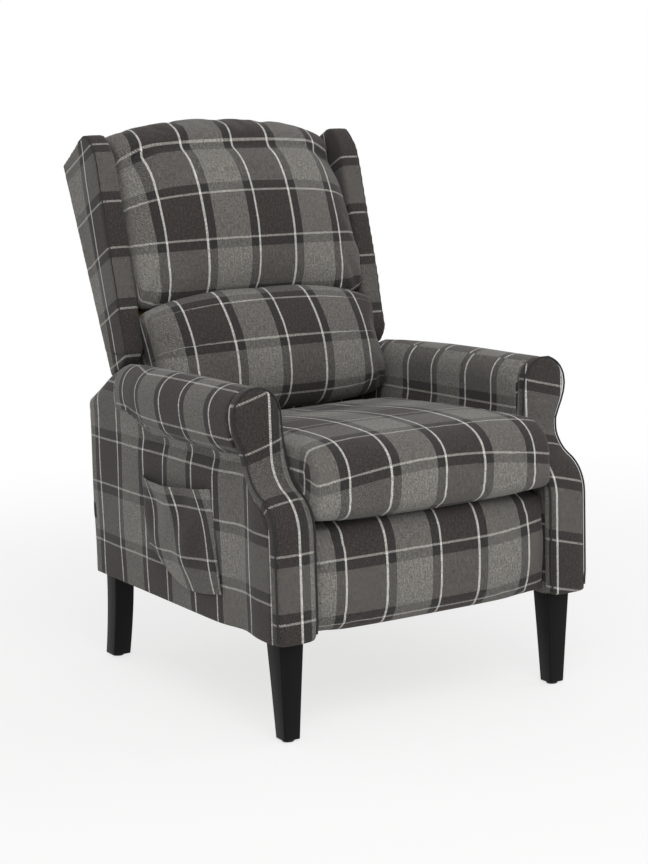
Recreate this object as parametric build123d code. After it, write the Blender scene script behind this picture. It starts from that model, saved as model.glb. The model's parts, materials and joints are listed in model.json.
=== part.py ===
from build123d import *
import math
import os

# All sizes are in millimetres and degrees. +Z is up and -Y is the chair's front.

# Overall
body_floor_gap = 175.0        # underside of the arms above the floor
arm_inner_half = 242.0        # centre to the inner face of an arm
arm_thickness = 71.0
arm_panel_top = 475.0         # top of the flat side panel, where the roll begins
arm_rear_y = 622.0
part_gap = 1.5                # room between an upholstered piece and a moving neighbour

# Arm front facing
facing_depth = 20.0
facing_front_y = -73.0
facing_sweep_low = 352.0      # height where the S-curve starts
facing_sweep_back = 83.0      # how far the S-curve sets the scroll back
facing_proud = 2.0            # facing stands this far outside the arm's faces

# Arm roll
roll_width = 91.0
roll_height = 110.0
roll_rear_drop = 72.0
roll_slope_y = 508.0          # where the roll starts to fall to the rear

# Arm frame
sill_width = 45.0
sill_height = 40.0
board_thickness = 18.0
board_edge_margin = 30.0

# Legs
leg_top = 46.0
leg_foot = 30.0
rear_leg_top = 38.0
rear_leg_foot = 35.0
rear_leg_rake = 26.0
rear_leg_inset = 4.0
glide_radius = 10.0
glide_height = 4.0
leg_bolt_radius = 4.0
leg_bolt_length = 62.0

# Stretchers
stretcher_height = 22.0
stretcher_depth = 44.0
corner_block_leg = 40.0
rear_panel_thickness = 14.0
rear_panel_top = 452.0

# Seat
seat_bottom = 340.0
seat_side_height = 152.0
seat_crown = 12.0
seat_draw = 6.0                # how far its sides are drawn in all round
seat_brow = 50.0
seat_nose_y = -88.0
seat_rear_y = 448.0
seat_rail_width = 24.0
seat_rail_height = 44.0
seat_rail_front_y = 36.0
seat_rail_rear_y = 452.0
spring_wire_radius = 1.8
spring_count = 5
spring_half_width = 24.0
spring_turns = 7
clip_thickness = 2.0

# Mechanism
plate_thickness = 3.0
plane_pitch = 6.5             # from one link plane to the next
link_width = 18.0
pin_radius = 4.0
pin_clearance = 0.06
seat_fit = 0.05               # radial room of a bolt or a fixed pin in its hole
glue_gap = 0.1
bolt_room = 0.3               # radial room of a bolt in a wooden hole
open_pivot_clearance = 2.2    # extra hole radius where a closed linkage is left open
rivet_head_radius = 7.0
rivet_head_height = 1.6
mechanism_width = 51.0        # from an arm's inner face to the outer face of the seat plate
seat_plate_outer = arm_inner_half - mechanism_width
base_plate_height = 60.0
base_plate_reach = 60.0       # base plate beyond the swing pivots
base_plate_drop = 24.0        # base plate below the swing pivots
base_bolt_reach = 42.0
base_bolt_rise = 20.0
swing_length = 70.0
swing_angle = 20.0            # swing links lean back by this at rest and forward when reclined
swing_foot_z = 226.0
front_swing_y = 300.0
swing_spacing = 120.0
tube_radius = 7.0

# Footrest links, seen from the side at rest: angles from straight ahead, counted upward
pivot_a_y = 54.93
pivot_a_z = 325.0
pivot_b_y = 20.0
pivot_b_z = 324.57
link_two_low = 169.67
link_two_high = 31.71
link_two_angle = -143.59
link_two_bend = -10.24
link_three_tail = 34.35
link_three_main = 174.69
link_three_angle = -0.57
link_three_bend = 36.75
bracket_open_y = 49.62
bracket_open_z = 308.34

# Footrest
footrest_side_room = 6.0      # between the footrest and an arm
footrest_half = arm_inner_half - footrest_side_room
footrest_bottom = 172.0
footrest_top = 361.0
footrest_front_y = -58.0
footrest_bulge = 8.0
footrest_pad_depth = 42.0
footrest_board_thickness = 13.0
footrest_board_margin = 0.5   # board beyond the outer face of its brackets

# Back
back_lean = 24.0
back_foot_y = 592.0           # point on the rear face where the wings begin
back_foot_z = 594.0
hinge_y = 506.0
hinge_z = 420.0
shell_thickness = 14.0
shell_side_room = 4.0         # between the outside back and an arm
shell_half_low = arm_inner_half - shell_side_room
wing_over_arm = 44.0          # wing's outer face beyond the arm's inner face
wing_outer = arm_inner_half + wing_over_arm
shell_wing_inset = 1.0
shell_half_high = wing_outer - shell_wing_inset
shell_low = -150.0
shell_high = 392.0
stile_width = 30.0
stile_depth = 32.0
stile_inset = 6.0
stile_outer = shell_half_low - stile_inset
back_rail_height = 60.0
wing_thickness = 39.0
wing_board_thickness = 14.0
wing_front_low = 88.0
wing_front_high = 140.0
wing_bottom = -28.0
pillow_half = arm_inner_half - facing_proud
lumbar_bottom = -158.0
lumbar_top = 60.0
lumbar_depth = 92.0
lumbar_crown = 26.0
head_bottom = 76.0
head_top = 398.0
head_depth = 92.0
head_crown = 30.0
head_rise = 28.0
head_brow = 52.0              # where the head pillow starts to fall back, below its top
head_fall = 16.0              # how far it has fallen back there
pillow_corner = 26.0
pillow_draw = 16.0            # how far a pillow's ends draw in
web_width = 50.0
web_thickness = 2.0
bracket_width = 26.0
bracket_reach = 130.0         # bracket along the stile
bracket_foot = 20.0
bracket_drop = 18.0           # bracket's bend below the outside back
bracket_recess = 3.0

# Side pocket
pocket_depth = 18.0
pocket_wall = 3.0
pocket_front_low_y = 114.0
pocket_front_low_z = 224.0
pocket_toe_y = 258.0
pocket_toe_z = 215.0
pocket_heel_y = 384.0
pocket_heel_z = 276.0
pocket_rear_y = 399.0
pocket_rear_top = 392.0
pocket_front_y = 139.0
pocket_front_top = 404.0
tab_low = 279.0
tab_height = 32.0
tab_width = 12.0
tab_thickness = 0.8
tab_inset = 2.0

parts = {}


def side_plane(x):
    # plane seen from the +X side: first axis is +Y, second is +Z
    return Plane(origin=(x, 0, 0), x_dir=(0, 1, 0), z_dir=(1, 0, 0))


def slab(x0, x1, y0, y1, z0, z1):
    return Pos((x0 + x1) / 2, (y0 + y1) / 2, (z0 + z1) / 2) * Box(x1 - x0, y1 - y0, z1 - z0)


def prism(outline, x0, x1):
    # outline is a closed wire drawn in (y, z)
    face = make_face(outline)
    return extrude(side_plane(x0) * face, amount=x1 - x0)


def flip(shape):
    return mirror(shape, about=Plane.YZ)


def both(name, shape):
    parts["right_" + name] = shape
    parts["left_" + name] = flip(shape)


def twins(name, shape):
    # identical stamped pieces on both sides, kept as two solids of one node
    parts[name] = pair([shape])


def rod(y, z, radius, x0, x1):
    return Pos((x0 + x1) / 2, y, z) * Rot(0, 90, 0) * Cylinder(radius, x1 - x0)


def pair(shapes):
    # the same pieces on the right and on the left, as separate solids
    group = [solid_of(s) for s in shapes]
    return Compound(group + [solid_of(flip(s)) for s in group])


def solid_of(shape):
    return shape.solids()[0]


# Arms
arm_outer = arm_inner_half + arm_thickness
facing_back_y = facing_front_y + facing_depth
sweep_mid_z = (facing_sweep_low + arm_panel_top) / 2
sweep_mid_y = facing_front_y + facing_sweep_back / 2
scroll_y = facing_front_y + facing_sweep_back


def front_curve(shift):
    low = (facing_front_y + shift, facing_sweep_low)
    mid = (sweep_mid_y + shift, sweep_mid_z)
    top = (scroll_y + shift, arm_panel_top)
    first = TangentArc(low, mid, tangent=(0, 1))
    second = TangentArc(mid, top, tangent=first % 1)
    foot = Line((facing_front_y + shift, body_floor_gap), low)
    return [foot, first, second]


def roll_section(y, outer, top):
    inner = arm_inner_half + 6
    waist = arm_panel_top + (top - arm_panel_top) * 0.6
    middle = (inner + outer) / 2
    low = Line((arm_outer, arm_panel_top), (inner, arm_panel_top))
    wall = Line((inner, arm_panel_top), (inner, waist))
    cap = ThreePointArc((inner, waist), (middle, top), (outer, waist))
    bow = (outer - arm_outer) * 0.72
    under_mid = (arm_outer + bow, (waist + arm_panel_top) / 2)
    under = ThreePointArc((outer, waist), under_mid, (arm_outer, arm_panel_top))
    face = make_face([low, wall, cap, under])
    return Plane(origin=(0, y, 0), x_dir=(1, 0, 0), z_dir=(0, -1, 0)) * face


roll_outer = arm_inner_half + 6 + roll_width
roll_top = arm_panel_top + roll_height
facing_ribbon = prism(
    front_curve(0)
    + [Line((scroll_y, arm_panel_top), (scroll_y + facing_depth, arm_panel_top))]
    + front_curve(facing_depth)
    + [Line((facing_front_y, body_floor_gap), (facing_back_y, body_floor_gap))],
    arm_inner_half - facing_proud,
    arm_outer + facing_proud,
)
scroll_face = roll_section(scroll_y + facing_depth, roll_outer, roll_top)
facing = facing_ribbon + extrude(scroll_face, amount=facing_depth)
both("arm_facing", solid_of(facing))

roll = loft([
    roll_section(scroll_y + facing_depth, roll_outer, roll_top),
    roll_section(roll_slope_y * 0.66, roll_outer, roll_top),
    roll_section(roll_slope_y, roll_outer - 12, roll_top - 4),
    roll_section(arm_rear_y - 4, arm_outer + 3, roll_top - roll_rear_drop),
], ruled=True)
both("arm_roll", solid_of(roll))

sill_inner = arm_inner_half + (arm_thickness - sill_width) / 2 - 1
sill = slab(sill_inner, sill_inner + sill_width, facing_back_y + 4, arm_rear_y - 10, body_floor_gap,
            body_floor_gap + sill_height)
board_inner = sill_inner + (sill_width - board_thickness) / 2
board_front_y = scroll_y + facing_depth + board_edge_margin
board_top = arm_panel_top - board_edge_margin / 2
board = slab(board_inner, board_inner + board_thickness, board_front_y, arm_rear_y - board_edge_margin,
             body_floor_gap + sill_height, board_top)
arm_core = sill + board
pad = prism(
    front_curve(facing_depth)
    + [
        Line((scroll_y + facing_depth, arm_panel_top), (arm_rear_y, arm_panel_top)),
        Line((arm_rear_y, arm_panel_top), (arm_rear_y, body_floor_gap)),
        Line((arm_rear_y, body_floor_gap), (facing_back_y, body_floor_gap)),
    ],
    arm_inner_half,
    arm_outer,
)

# Legs, glides and leg bolts
front_leg_x = sill_inner + sill_width / 2 - 1
front_leg_y = facing_back_y + 4 + leg_top / 2
rear_leg_y = arm_rear_y - rear_leg_inset - rear_leg_top / 2
leg_height = body_floor_gap - glide_height


def square_at(x, y, z, side):
    return Pos(x, y, z) * Rectangle(side, side)


front_leg = loft([
    square_at(front_leg_x, front_leg_y, glide_height, leg_foot),
    square_at(front_leg_x, front_leg_y, body_floor_gap, leg_top),
])
rear_leg = loft([
    square_at(front_leg_x, rear_leg_y + rear_leg_rake, glide_height, rear_leg_foot),
    square_at(front_leg_x, rear_leg_y + rear_leg_rake * 0.30, glide_height + leg_height * 0.45,
              rear_leg_top * 0.94),
    square_at(front_leg_x, rear_leg_y, body_floor_gap, rear_leg_top),
])


def post(x, y, z0, z1, radius):
    return Pos(x, y, (z0 + z1) / 2) * Cylinder(radius, z1 - z0)


leg_bolts = []
glides = []
for leg_y, foot_y in ((front_leg_y, front_leg_y), (rear_leg_y, rear_leg_y + rear_leg_rake)):
    leg_bolts.append(post(front_leg_x, leg_y, body_floor_gap - leg_bolt_length / 2,
                          body_floor_gap + leg_bolt_length / 2, leg_bolt_radius))
    glides.append(post(front_leg_x, foot_y, 0, glide_height, glide_radius))
parts["leg_bolts"] = pair(leg_bolts)
parts["leg_glides"] = pair(glides)
leg_holes = []
for leg_y in (front_leg_y, rear_leg_y):
    leg_holes.append(post(front_leg_x, leg_y, body_floor_gap - leg_bolt_length / 2 - 1,
                          body_floor_gap + sill_height, leg_bolt_radius + bolt_room))
for hole in leg_holes:
    sill = sill - hole
    front_leg = front_leg - hole
    rear_leg = rear_leg - hole
both("front_leg", solid_of(front_leg))
both("rear_leg", solid_of(rear_leg))

# Stretchers and corner blocks between the arms
stretch_z0 = body_floor_gap + 2
stretch_z1 = stretch_z0 + stretcher_height
rear_stretch_y1 = arm_rear_y - rear_panel_thickness - 2
front_stretch_y0 = front_swing_y - 90
front_stretcher = slab(-arm_inner_half, arm_inner_half, front_stretch_y0, front_stretch_y0 + stretcher_depth,
                       stretch_z0, stretch_z1)
rear_stretcher = slab(-arm_inner_half, arm_inner_half, rear_stretch_y1 - stretcher_depth, rear_stretch_y1,
                      stretch_z0, stretch_z1)
parts["front_stretcher"] = solid_of(front_stretcher)
parts["rear_stretcher"] = solid_of(rear_stretcher)
parts["rear_panel"] = slab(-arm_inner_half, arm_inner_half, rear_stretch_y1,
                           rear_stretch_y1 + rear_panel_thickness, body_floor_gap, rear_panel_top)


def corner_block(y, way):
    side = arm_inner_half - glue_gap
    start = y + way * glue_gap
    tri = Polyline((side, start), (side - corner_block_leg, start), (side, start + way * corner_block_leg),
                   close=True)
    return extrude(Pos(0, 0, stretch_z0) * make_face(tri), amount=stretcher_height)


parts["corner_blocks"] = pair([
    corner_block(front_stretch_y0 + stretcher_depth, 1),
    corner_block(rear_stretch_y1 - stretcher_depth, -1),
])

# Base plates on the arms, with their bolts
plate_out = arm_inner_half
plate_in = arm_inner_half - plate_thickness
rear_swing_y = front_swing_y + swing_spacing
base_plate_low = swing_foot_z - base_plate_drop
base_plate = slab(plate_in, plate_out, front_swing_y - base_plate_reach, rear_swing_y + base_plate_reach,
                  base_plate_low, base_plate_low + base_plate_height)
base_bolt_z = swing_foot_z + base_bolt_rise
base_bolts = []
bolt_holes = []
bolt_far_end = board_inner + board_thickness
bolt_mid_y = front_swing_y + swing_spacing / 2
for bolt_y in (front_swing_y - base_bolt_reach, bolt_mid_y, rear_swing_y + base_bolt_reach):
    shank = rod(bolt_y, base_bolt_z, pin_radius, plate_in, bolt_far_end)
    head = rod(bolt_y, base_bolt_z, rivet_head_radius, plate_in - rivet_head_height, plate_in)
    base_bolts.append(solid_of(shank + head))
    bolt_holes.append(rod(bolt_y, base_bolt_z, pin_radius + bolt_room, plate_in, bolt_far_end + 1))

# Swing links: base pivots at the foot, seat pivots at the head
swing_rise = swing_length * math.cos(math.radians(swing_angle))
swing_run = swing_length * math.sin(math.radians(swing_angle))
swing_head_z = swing_foot_z + swing_rise
swing_out = plate_in - plane_pitch
swing_in = swing_out - plate_thickness
hole_radius = pin_radius + pin_clearance


def bar(points, x0, x1, width=link_width):
    # flat link through a chain of pivots, each point (y, z)
    shape = None
    for start, end in zip(points[:-1], points[1:]):
        length = math.hypot(end[0] - start[0], end[1] - start[1])
        angle = math.degrees(math.atan2(end[1] - start[1], end[0] - start[0]))
        middle = ((start[0] + end[0]) / 2, (start[1] + end[1]) / 2)
        slot = Pos(middle[0], middle[1]) * Rot(0, 0, angle) * SlotCenterToCenter(length, width)
        shape = slot if shape is None else shape + slot
    return solid_of(extrude(side_plane(x0) * shape, amount=x1 - x0))


def bored(shape, points, radius=hole_radius):
    for point in points:
        shape = shape - rod(point[0], point[1], radius, -400, 400)
    return solid_of(shape)


def pin(point, x0, x1, head_at=None):
    # pivot pin along X; head_at is the end that carries the rivet head
    shape = rod(point[0], point[1], pin_radius, x0, x1)
    if head_at == "out":
        shape = shape + rod(point[0], point[1], rivet_head_radius, x1, x1 + rivet_head_height)
    if head_at == "in":
        shape = shape + rod(point[0], point[1], rivet_head_radius, x0 - rivet_head_height, x0)
    return solid_of(shape)


axial_play = 0.4
base_pins = []
seat_pins = []
for name, foot_y in (("front", front_swing_y), ("rear", rear_swing_y)):
    foot = (foot_y, swing_foot_z)
    head = (foot_y + swing_run, swing_head_z)
    link = bored(bar([foot, head], swing_in, swing_out), [foot, head])
    twins(name + "_swing_links", link)
    base_pins.append(pin(foot, swing_in - axial_play, plate_out, "in"))
    seat_pins.append(pin(head, seat_plate_outer - plate_thickness, swing_out + axial_play, "out"))
for hole in bolt_holes:
    base_plate = base_plate - hole
    pad = pad - hole
    board = board - hole
swing_feet = [(front_swing_y, swing_foot_z), (rear_swing_y, swing_foot_z)]
base_plate = bored(base_plate, swing_feet, pin_radius + seat_fit)
parts["base_pins"] = pair(base_pins)
parts["base_bolts"] = pair(base_bolts)
twins("base_plates", solid_of(base_plate))
both("arm_sill", solid_of(sill))
both("arm_board", solid_of(board))
both("arm_pad", solid_of(pad - arm_core))

# Footrest linkage. Planes from the seat plate outward: link one, two, three, four, footrest bracket.
plane_one = seat_plate_outer + plane_pitch - plate_thickness
plane_two = plane_one + plane_pitch
plane_three = plane_two + plane_pitch
plane_four = plane_three + plane_pitch
plane_bracket = plane_four + plane_pitch


def ahead(start, length, angle):
    # point at a distance from start, at an angle from straight ahead
    turn = math.radians(angle)
    return (start[0] - length * math.cos(turn), start[1] + length * math.sin(turn))


pivot_a = (pivot_a_y, pivot_a_z)
pivot_b = (pivot_b_y, pivot_b_z)
cross = ahead(pivot_b, link_two_low, link_two_angle)
two_end = ahead(cross, link_two_high, link_two_angle + link_two_bend)
three_tail = ahead(cross, -link_three_tail, link_three_angle)
three_end = ahead(cross, link_three_main, link_three_angle + link_three_bend)
bracket_open = (bracket_open_y, bracket_open_z)

link_one = bored(bar([pivot_a, three_tail], plane_one, plane_one + plate_thickness), [pivot_a])
link_one = bored(link_one, [three_tail], pin_radius + open_pivot_clearance)
link_two = bar([pivot_b, cross, two_end], plane_two, plane_two + plate_thickness)
link_three = bar([three_tail, cross, three_end], plane_three, plane_three + plate_thickness)
link_four = bar([two_end, bracket_open], plane_four, plane_four + plate_thickness)

footrest_back_y = footrest_front_y + footrest_pad_depth + footrest_board_thickness
bracket_face_y = footrest_back_y
bracket = bar([three_end, bracket_open], plane_bracket, plane_bracket + plate_thickness)
foot_low = min(three_end[1], bracket_open[1]) - link_width / 2
foot_high = max(three_end[1], bracket_open[1]) + link_width / 2
flange = slab(plane_bracket, plane_bracket + plate_thickness, bracket_face_y,
              max(three_end[0], bracket_open[0]), foot_low, foot_high)
foot_plate = slab(plane_bracket - 14, plane_bracket + plate_thickness, bracket_face_y,
                  bracket_face_y + plate_thickness, foot_low, foot_high)
bracket = solid_of(bracket + flange + foot_plate)
bracket = bored(bracket, [three_end])
bracket = bored(bracket, [bracket_open], pin_radius + open_pivot_clearance)

pin_a = pin(pivot_a, seat_plate_outer - plate_thickness, plane_one + plate_thickness + axial_play, "out")
seat_pins.append(pin_a)
pin_cross = pin(cross, plane_two, plane_three + plate_thickness + axial_play, "out")
pin_two_end = pin(two_end, plane_two, plane_four + plate_thickness + axial_play, "out")
pin_tail = pin(three_tail, plane_one - axial_play, plane_three + plate_thickness, "in")
pin_three_end = pin(three_end, plane_three, plane_bracket + plate_thickness + axial_play, "out")
pin_open = pin(bracket_open, plane_four, plane_bracket + plate_thickness + axial_play, "out")

# Cross tube: it turns in the seat plates and carries link two on both sides
tube_half = plane_two + plate_thickness
tube = rod(pivot_b[0], pivot_b[1], tube_radius, -tube_half, tube_half)
tube = tube - rod(pivot_b[0], pivot_b[1], tube_radius - 2, -tube_half, tube_half)
parts["cross_tube"] = solid_of(tube)
link_two = link_two - rod(pivot_b[0], pivot_b[1], tube_radius + seat_fit, -tube_half, tube_half)
link_two = bored(link_two, [cross, two_end], pin_radius + seat_fit)
link_three = bored(link_three, [three_tail, three_end], pin_radius + seat_fit)
link_four = bored(link_four, [bracket_open], pin_radius + seat_fit)
link_four = bored(link_four, [two_end])
link_three = bored(link_three, [cross])
twins("first_links", link_one)
twins("second_links", solid_of(link_two))
twins("third_links", solid_of(link_three))
twins("fourth_links", solid_of(link_four))
twins("footrest_brackets", bracket)
parts["second_link_pins"] = pair([pin_cross, pin_two_end])
parts["third_link_pins"] = pair([pin_tail, pin_three_end])
parts["fourth_link_pins"] = pair([pin_open])

# Footrest panel
footrest_board_half = plane_bracket + plate_thickness + footrest_board_margin
parts["footrest_board"] = slab(-footrest_board_half, footrest_board_half,
                               footrest_back_y - footrest_board_thickness, footrest_back_y,
                               footrest_bottom + 10, footrest_top - 10)
pad_back_y = footrest_back_y - footrest_board_thickness


def footrest_section(x, draw):
    low = footrest_bottom + draw
    high = footrest_top - draw
    front = footrest_front_y + draw
    shoulder = 16.0
    back = Line((pad_back_y, high), (pad_back_y, low))
    under = Line((pad_back_y, low), (front + shoulder, low))
    foot = ThreePointArc((front + shoulder, low), (front + shoulder * 0.3, low + shoulder * 0.3),
                         (front, low + shoulder))
    bulge = (front - footrest_bulge, (low + high) / 2)
    face = ThreePointArc((front, low + shoulder), bulge, (front, high - shoulder))
    brow = ThreePointArc((front, high - shoulder), (front + shoulder * 0.3, high - shoulder * 0.3),
                         (front + shoulder, high))
    over = Line((front + shoulder, high), (pad_back_y, high))
    return side_plane(x) * make_face([back, under, foot, face, brow, over])


section_places = (-1.0, -0.75, 0.0, 0.75, 1.0)
parts["footrest_pad"] = solid_of(loft([
    footrest_section(place * footrest_half, 6 * place ** 4) for place in section_places
]))

# Seat frame
rail_z1 = seat_bottom - 2 * spring_wire_radius - clip_thickness
rail_z0 = rail_z1 - seat_rail_height
plate_seat_in = seat_plate_outer - plate_thickness
rail_out = plate_seat_in
rail_in = rail_out - seat_rail_width
side_rail = slab(rail_in, rail_out, seat_rail_front_y, seat_rail_rear_y, rail_z0, rail_z1)
both("seat_rail", solid_of(side_rail))
front_rail = slab(-rail_in, rail_in, seat_rail_front_y, seat_rail_front_y + seat_rail_width, rail_z0, rail_z1)
rear_rail = slab(-rail_in, rail_in, seat_rail_rear_y - seat_rail_width, seat_rail_rear_y, rail_z0, rail_z1)
parts["seat_front_rail"] = solid_of(front_rail)
parts["seat_rear_rail"] = solid_of(rear_rail)

# Zigzag seat springs run from the front rail to the rear rail on clips
spring_z = rail_z1 + clip_thickness + spring_wire_radius
spring_y0 = seat_rail_front_y + seat_rail_width / 2
spring_y1 = seat_rail_rear_y - seat_rail_width / 2
spring_step = (spring_y1 - spring_y0) / (2 * spring_turns)
spring_pitch = 2 * (rail_in - spring_half_width - 12) / (spring_count - 1)


def zigzag(x):
    corners = []
    for turn in range(2 * spring_turns + 1):
        way = 1 if turn % 2 == 0 else -1
        y = spring_y0 + turn * spring_step
        corners.append((x + way * spring_half_width, y, spring_z))
    path = FilletPolyline(*corners, radius=spring_step * 0.4)
    profile = Plane(origin=path @ 0, z_dir=path % 0) * Circle(spring_wire_radius)
    return solid_of(sweep(profile, path=path))


springs = []
clips = []
for row in range(spring_count):
    spring_x = (row - (spring_count - 1) / 2) * spring_pitch
    springs.append(zigzag(spring_x))
    for clip_y in (spring_y0, spring_y1):
        clips.append(slab(spring_x - spring_half_width, spring_x + spring_half_width + 8,
                          clip_y - 9, clip_y + 9, rail_z1, rail_z1 + clip_thickness))
parts["seat_springs"] = Compound(springs)
parts["spring_clips"] = Compound([solid_of(c) for c in clips])

bracket_in = seat_plate_outer + 1.0
# Seat plates carry the links and, at the rear, the back hinge
hinge = (hinge_y, hinge_z)
plate_front = pivot_b_y - tube_radius - 6
plate_high = seat_bottom - part_gap
plate_low = min(swing_head_z, pivot_a_z, pivot_b_z - tube_radius) - link_width * 0.7
plate_outline = Polyline(
    (plate_front, plate_low), (seat_rail_rear_y, plate_low), (hinge_y + 16, hinge_z - 20),
    (hinge_y + 16, hinge_z + 14), (hinge_y - 14, hinge_z + 14), (seat_rail_rear_y + 6, plate_high),
    (plate_front, plate_high), close=True)
seat_plate = prism(plate_outline, plate_seat_in, seat_plate_outer)
seat_plate = seat_plate - rod(pivot_b[0], pivot_b[1], tube_radius + pin_clearance, -400, 400)
pin_hinge = pin(hinge, plate_seat_in, bracket_in + plate_thickness + axial_play, "out")
seat_pins.append(pin_hinge)
swing_heads = [(front_swing_y + swing_run, swing_head_z), (rear_swing_y + swing_run, swing_head_z)]
seat_plate = bored(seat_plate, swing_heads + [pivot_a, hinge], pin_radius + seat_fit)
twins("seat_plates", solid_of(seat_plate))
parts["seat_pins"] = pair(seat_pins)

# Seat cushion: crowned, drawn in at its sides, with a rolled nose
seat_half = arm_inner_half - facing_proud - part_gap


def seat_section(x, draw, crown):
    low = seat_bottom - 4 + draw * 0.6
    high = seat_bottom + seat_side_height + crown - draw
    rear = seat_rear_y - draw
    nose = seat_nose_y + draw
    nose_low = footrest_top + part_gap + draw * 0.4
    lip = footrest_front_y + 8
    sill_y = footrest_back_y + 8
    base_line = Line((rear, low), (sill_y, low))
    rise = Line((sill_y, low), (sill_y, nose_low))
    step = Line((sill_y, nose_low), (lip, nose_low))
    chin = ThreePointArc((lip, nose_low), ((lip + nose) / 2 - 14, nose_low + 9), (nose, nose_low + 44))
    brow_y = nose + seat_brow
    brow = ThreePointArc((nose, nose_low + 44), (nose + 14, high - 20), (brow_y, high - 2))
    summit = ((brow_y + rear) / 2, high + crown * 0.25)
    top = ThreePointArc((brow_y, high - 2), summit, (rear - 22, high - 16))
    heel = ThreePointArc((rear - 22, high - 16), (rear - 6, high - 24), (rear, high - 40))
    wall = Line((rear, high - 40), (rear, low))
    return side_plane(x) * make_face([base_line, rise, step, chin, brow, top, heel, wall])


cushion = loft([
    seat_section(place * seat_half, seat_draw * place ** 4, seat_crown * (1 - place ** 2) + 2)
    for place in section_places
])
deck = slab(-seat_half, seat_half, footrest_back_y + 4, seat_rear_y + 20, seat_bottom - 40, seat_bottom)
parts["seat_cushion"] = solid_of(cushion - deck)

# Back. Points are (up the back, ahead of its rear face), turned by the lean.
lean = math.radians(back_lean)


def back_point(up, depth):
    y = back_foot_y + up * math.sin(lean) - depth * math.cos(lean)
    z = back_foot_z + up * math.cos(lean) + depth * math.sin(lean)
    return (y, z)


def back_slab(x0, x1, up0, up1, depth0, depth1):
    outline = Polyline(back_point(up0, depth0), back_point(up1, depth0), back_point(up1, depth1),
                       back_point(up0, depth1), close=True)
    return prism(outline, x0, x1)


frame_rear = shell_thickness
frame_front = shell_thickness + stile_depth
stile_in = stile_outer - stile_width
stile_low = shell_low + 14
stile_high = shell_high - 22
stile = back_slab(stile_in, stile_outer, stile_low, stile_high, frame_rear, frame_front)
both("back_stile", solid_of(stile))
parts["back_top_rail"] = solid_of(back_slab(-stile_in, stile_in, stile_high - back_rail_height, stile_high,
                                            frame_rear, frame_front))
low_rail_up = stile_low + 50
low_rail_top = low_rail_up + back_rail_height
parts["back_low_rail"] = solid_of(back_slab(-bracket_in, bracket_in, low_rail_up, low_rail_top, frame_rear,
                                            frame_front))
webs = []
web_room = stile_high - back_rail_height - low_rail_up - back_rail_height
for row in range(4):
    web_up = low_rail_up + back_rail_height + web_room * (row + 0.5) / 4
    webs.append(solid_of(back_slab(-stile_in - 20, stile_in + 20, web_up - web_width / 2,
                                   web_up + web_width / 2, frame_front, frame_front + web_thickness)))
parts["back_webbing"] = Compound(webs)
shell_low_part = back_slab(-shell_half_low, shell_half_low, shell_low, wing_bottom + 30, 0, shell_thickness)
shell_high_part = back_slab(-shell_half_high, shell_half_high, wing_bottom + 30, shell_high - 16, 0,
                            shell_thickness)
parts["back_shell"] = solid_of(shell_low_part + shell_high_part)

# Back brackets hang from the hinge pins and are fixed to the stiles
bracket_up = stile_low + bracket_reach
frame_mid = (frame_rear + frame_front) / 2
bracket_bend = back_point(shell_low - bracket_drop, frame_mid)
bracket_bar = bar([hinge, bracket_bend, back_point(bracket_up, frame_mid)], bracket_in,
                  bracket_in + plate_thickness, bracket_width)
bracket_wall = back_slab(bracket_in, stile_in, stile_low + bracket_foot, bracket_up,
                         frame_rear + bracket_recess, frame_front - bracket_recess)
back_bracket = bored(bracket_bar + bracket_wall, [hinge])
twins("back_brackets", back_bracket)

# Wings with a board inside each
wing_in = wing_outer - wing_thickness


def wing_outline(grow):
    low = wing_bottom - grow
    high = shell_high + grow
    front_low = back_point(low + 30, wing_front_low + grow)
    front_high = back_point(high - 62, wing_front_high + grow)
    top_front = back_point(high, wing_front_high - 30)
    top_rear = back_point(high, 92)
    rear_high = back_point(high - 26, shell_thickness - grow)
    rear_low = back_point(low + 30, shell_thickness - grow)
    base = back_point(low, (wing_front_low + shell_thickness) / 2)
    front = Line(front_low, front_high)
    brow = ThreePointArc(front_high, back_point(high - 18, wing_front_high - 4 + grow), top_front)
    top = Line(top_front, top_rear)
    slope = Line(top_rear, rear_high)
    rear = Line(rear_high, rear_low)
    sole = ThreePointArc(rear_low, base, front_low)
    return [front, brow, top, slope, rear, sole]


wing = prism(wing_outline(0), wing_in, wing_outer)
wing_board_in = wing_in + (wing_thickness - wing_board_thickness) / 2
wing_board = prism(wing_outline(-12), wing_board_in, wing_board_in + wing_board_thickness)
both("wing_board", solid_of(wing_board))
both("wing", solid_of(wing - wing_board))

# Pillows: crowned, drawn in at their ends, with a channel between the two
pillow_rear = frame_front + web_thickness + 0.5


def pillow_section(x, low, high, depth, crown, rise, draw, brow, fall):
    low = low + draw
    high = high - draw
    front = pillow_rear + depth - draw
    middle = (low + high) / 2
    corner = pillow_corner
    turn = back_point(high - brow, front - fall)
    rear = Line(back_point(high - corner, pillow_rear), back_point(low + corner * 0.5, pillow_rear))
    sole = ThreePointArc(back_point(low + corner * 0.5, pillow_rear),
                         back_point(low, (pillow_rear + front) / 2), back_point(low + corner, front))
    face = ThreePointArc(back_point(low + corner, front), back_point(middle, front + crown), turn)
    cap = ThreePointArc(turn, back_point(high + rise, (pillow_rear + front - fall) / 2),
                        back_point(high - corner, pillow_rear))
    return side_plane(x) * make_face([rear, sole, face, cap])


def pillow(half, low, high, depth, crown, rise, brow, fall):
    sections = []
    for place in section_places:
        swell = 1 - 0.85 * place ** 2
        sections.append(pillow_section(place * half, low, high, depth, crown * swell, rise * swell,
                                       pillow_draw * place ** 4, brow, fall))
    return solid_of(loft(sections))


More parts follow.
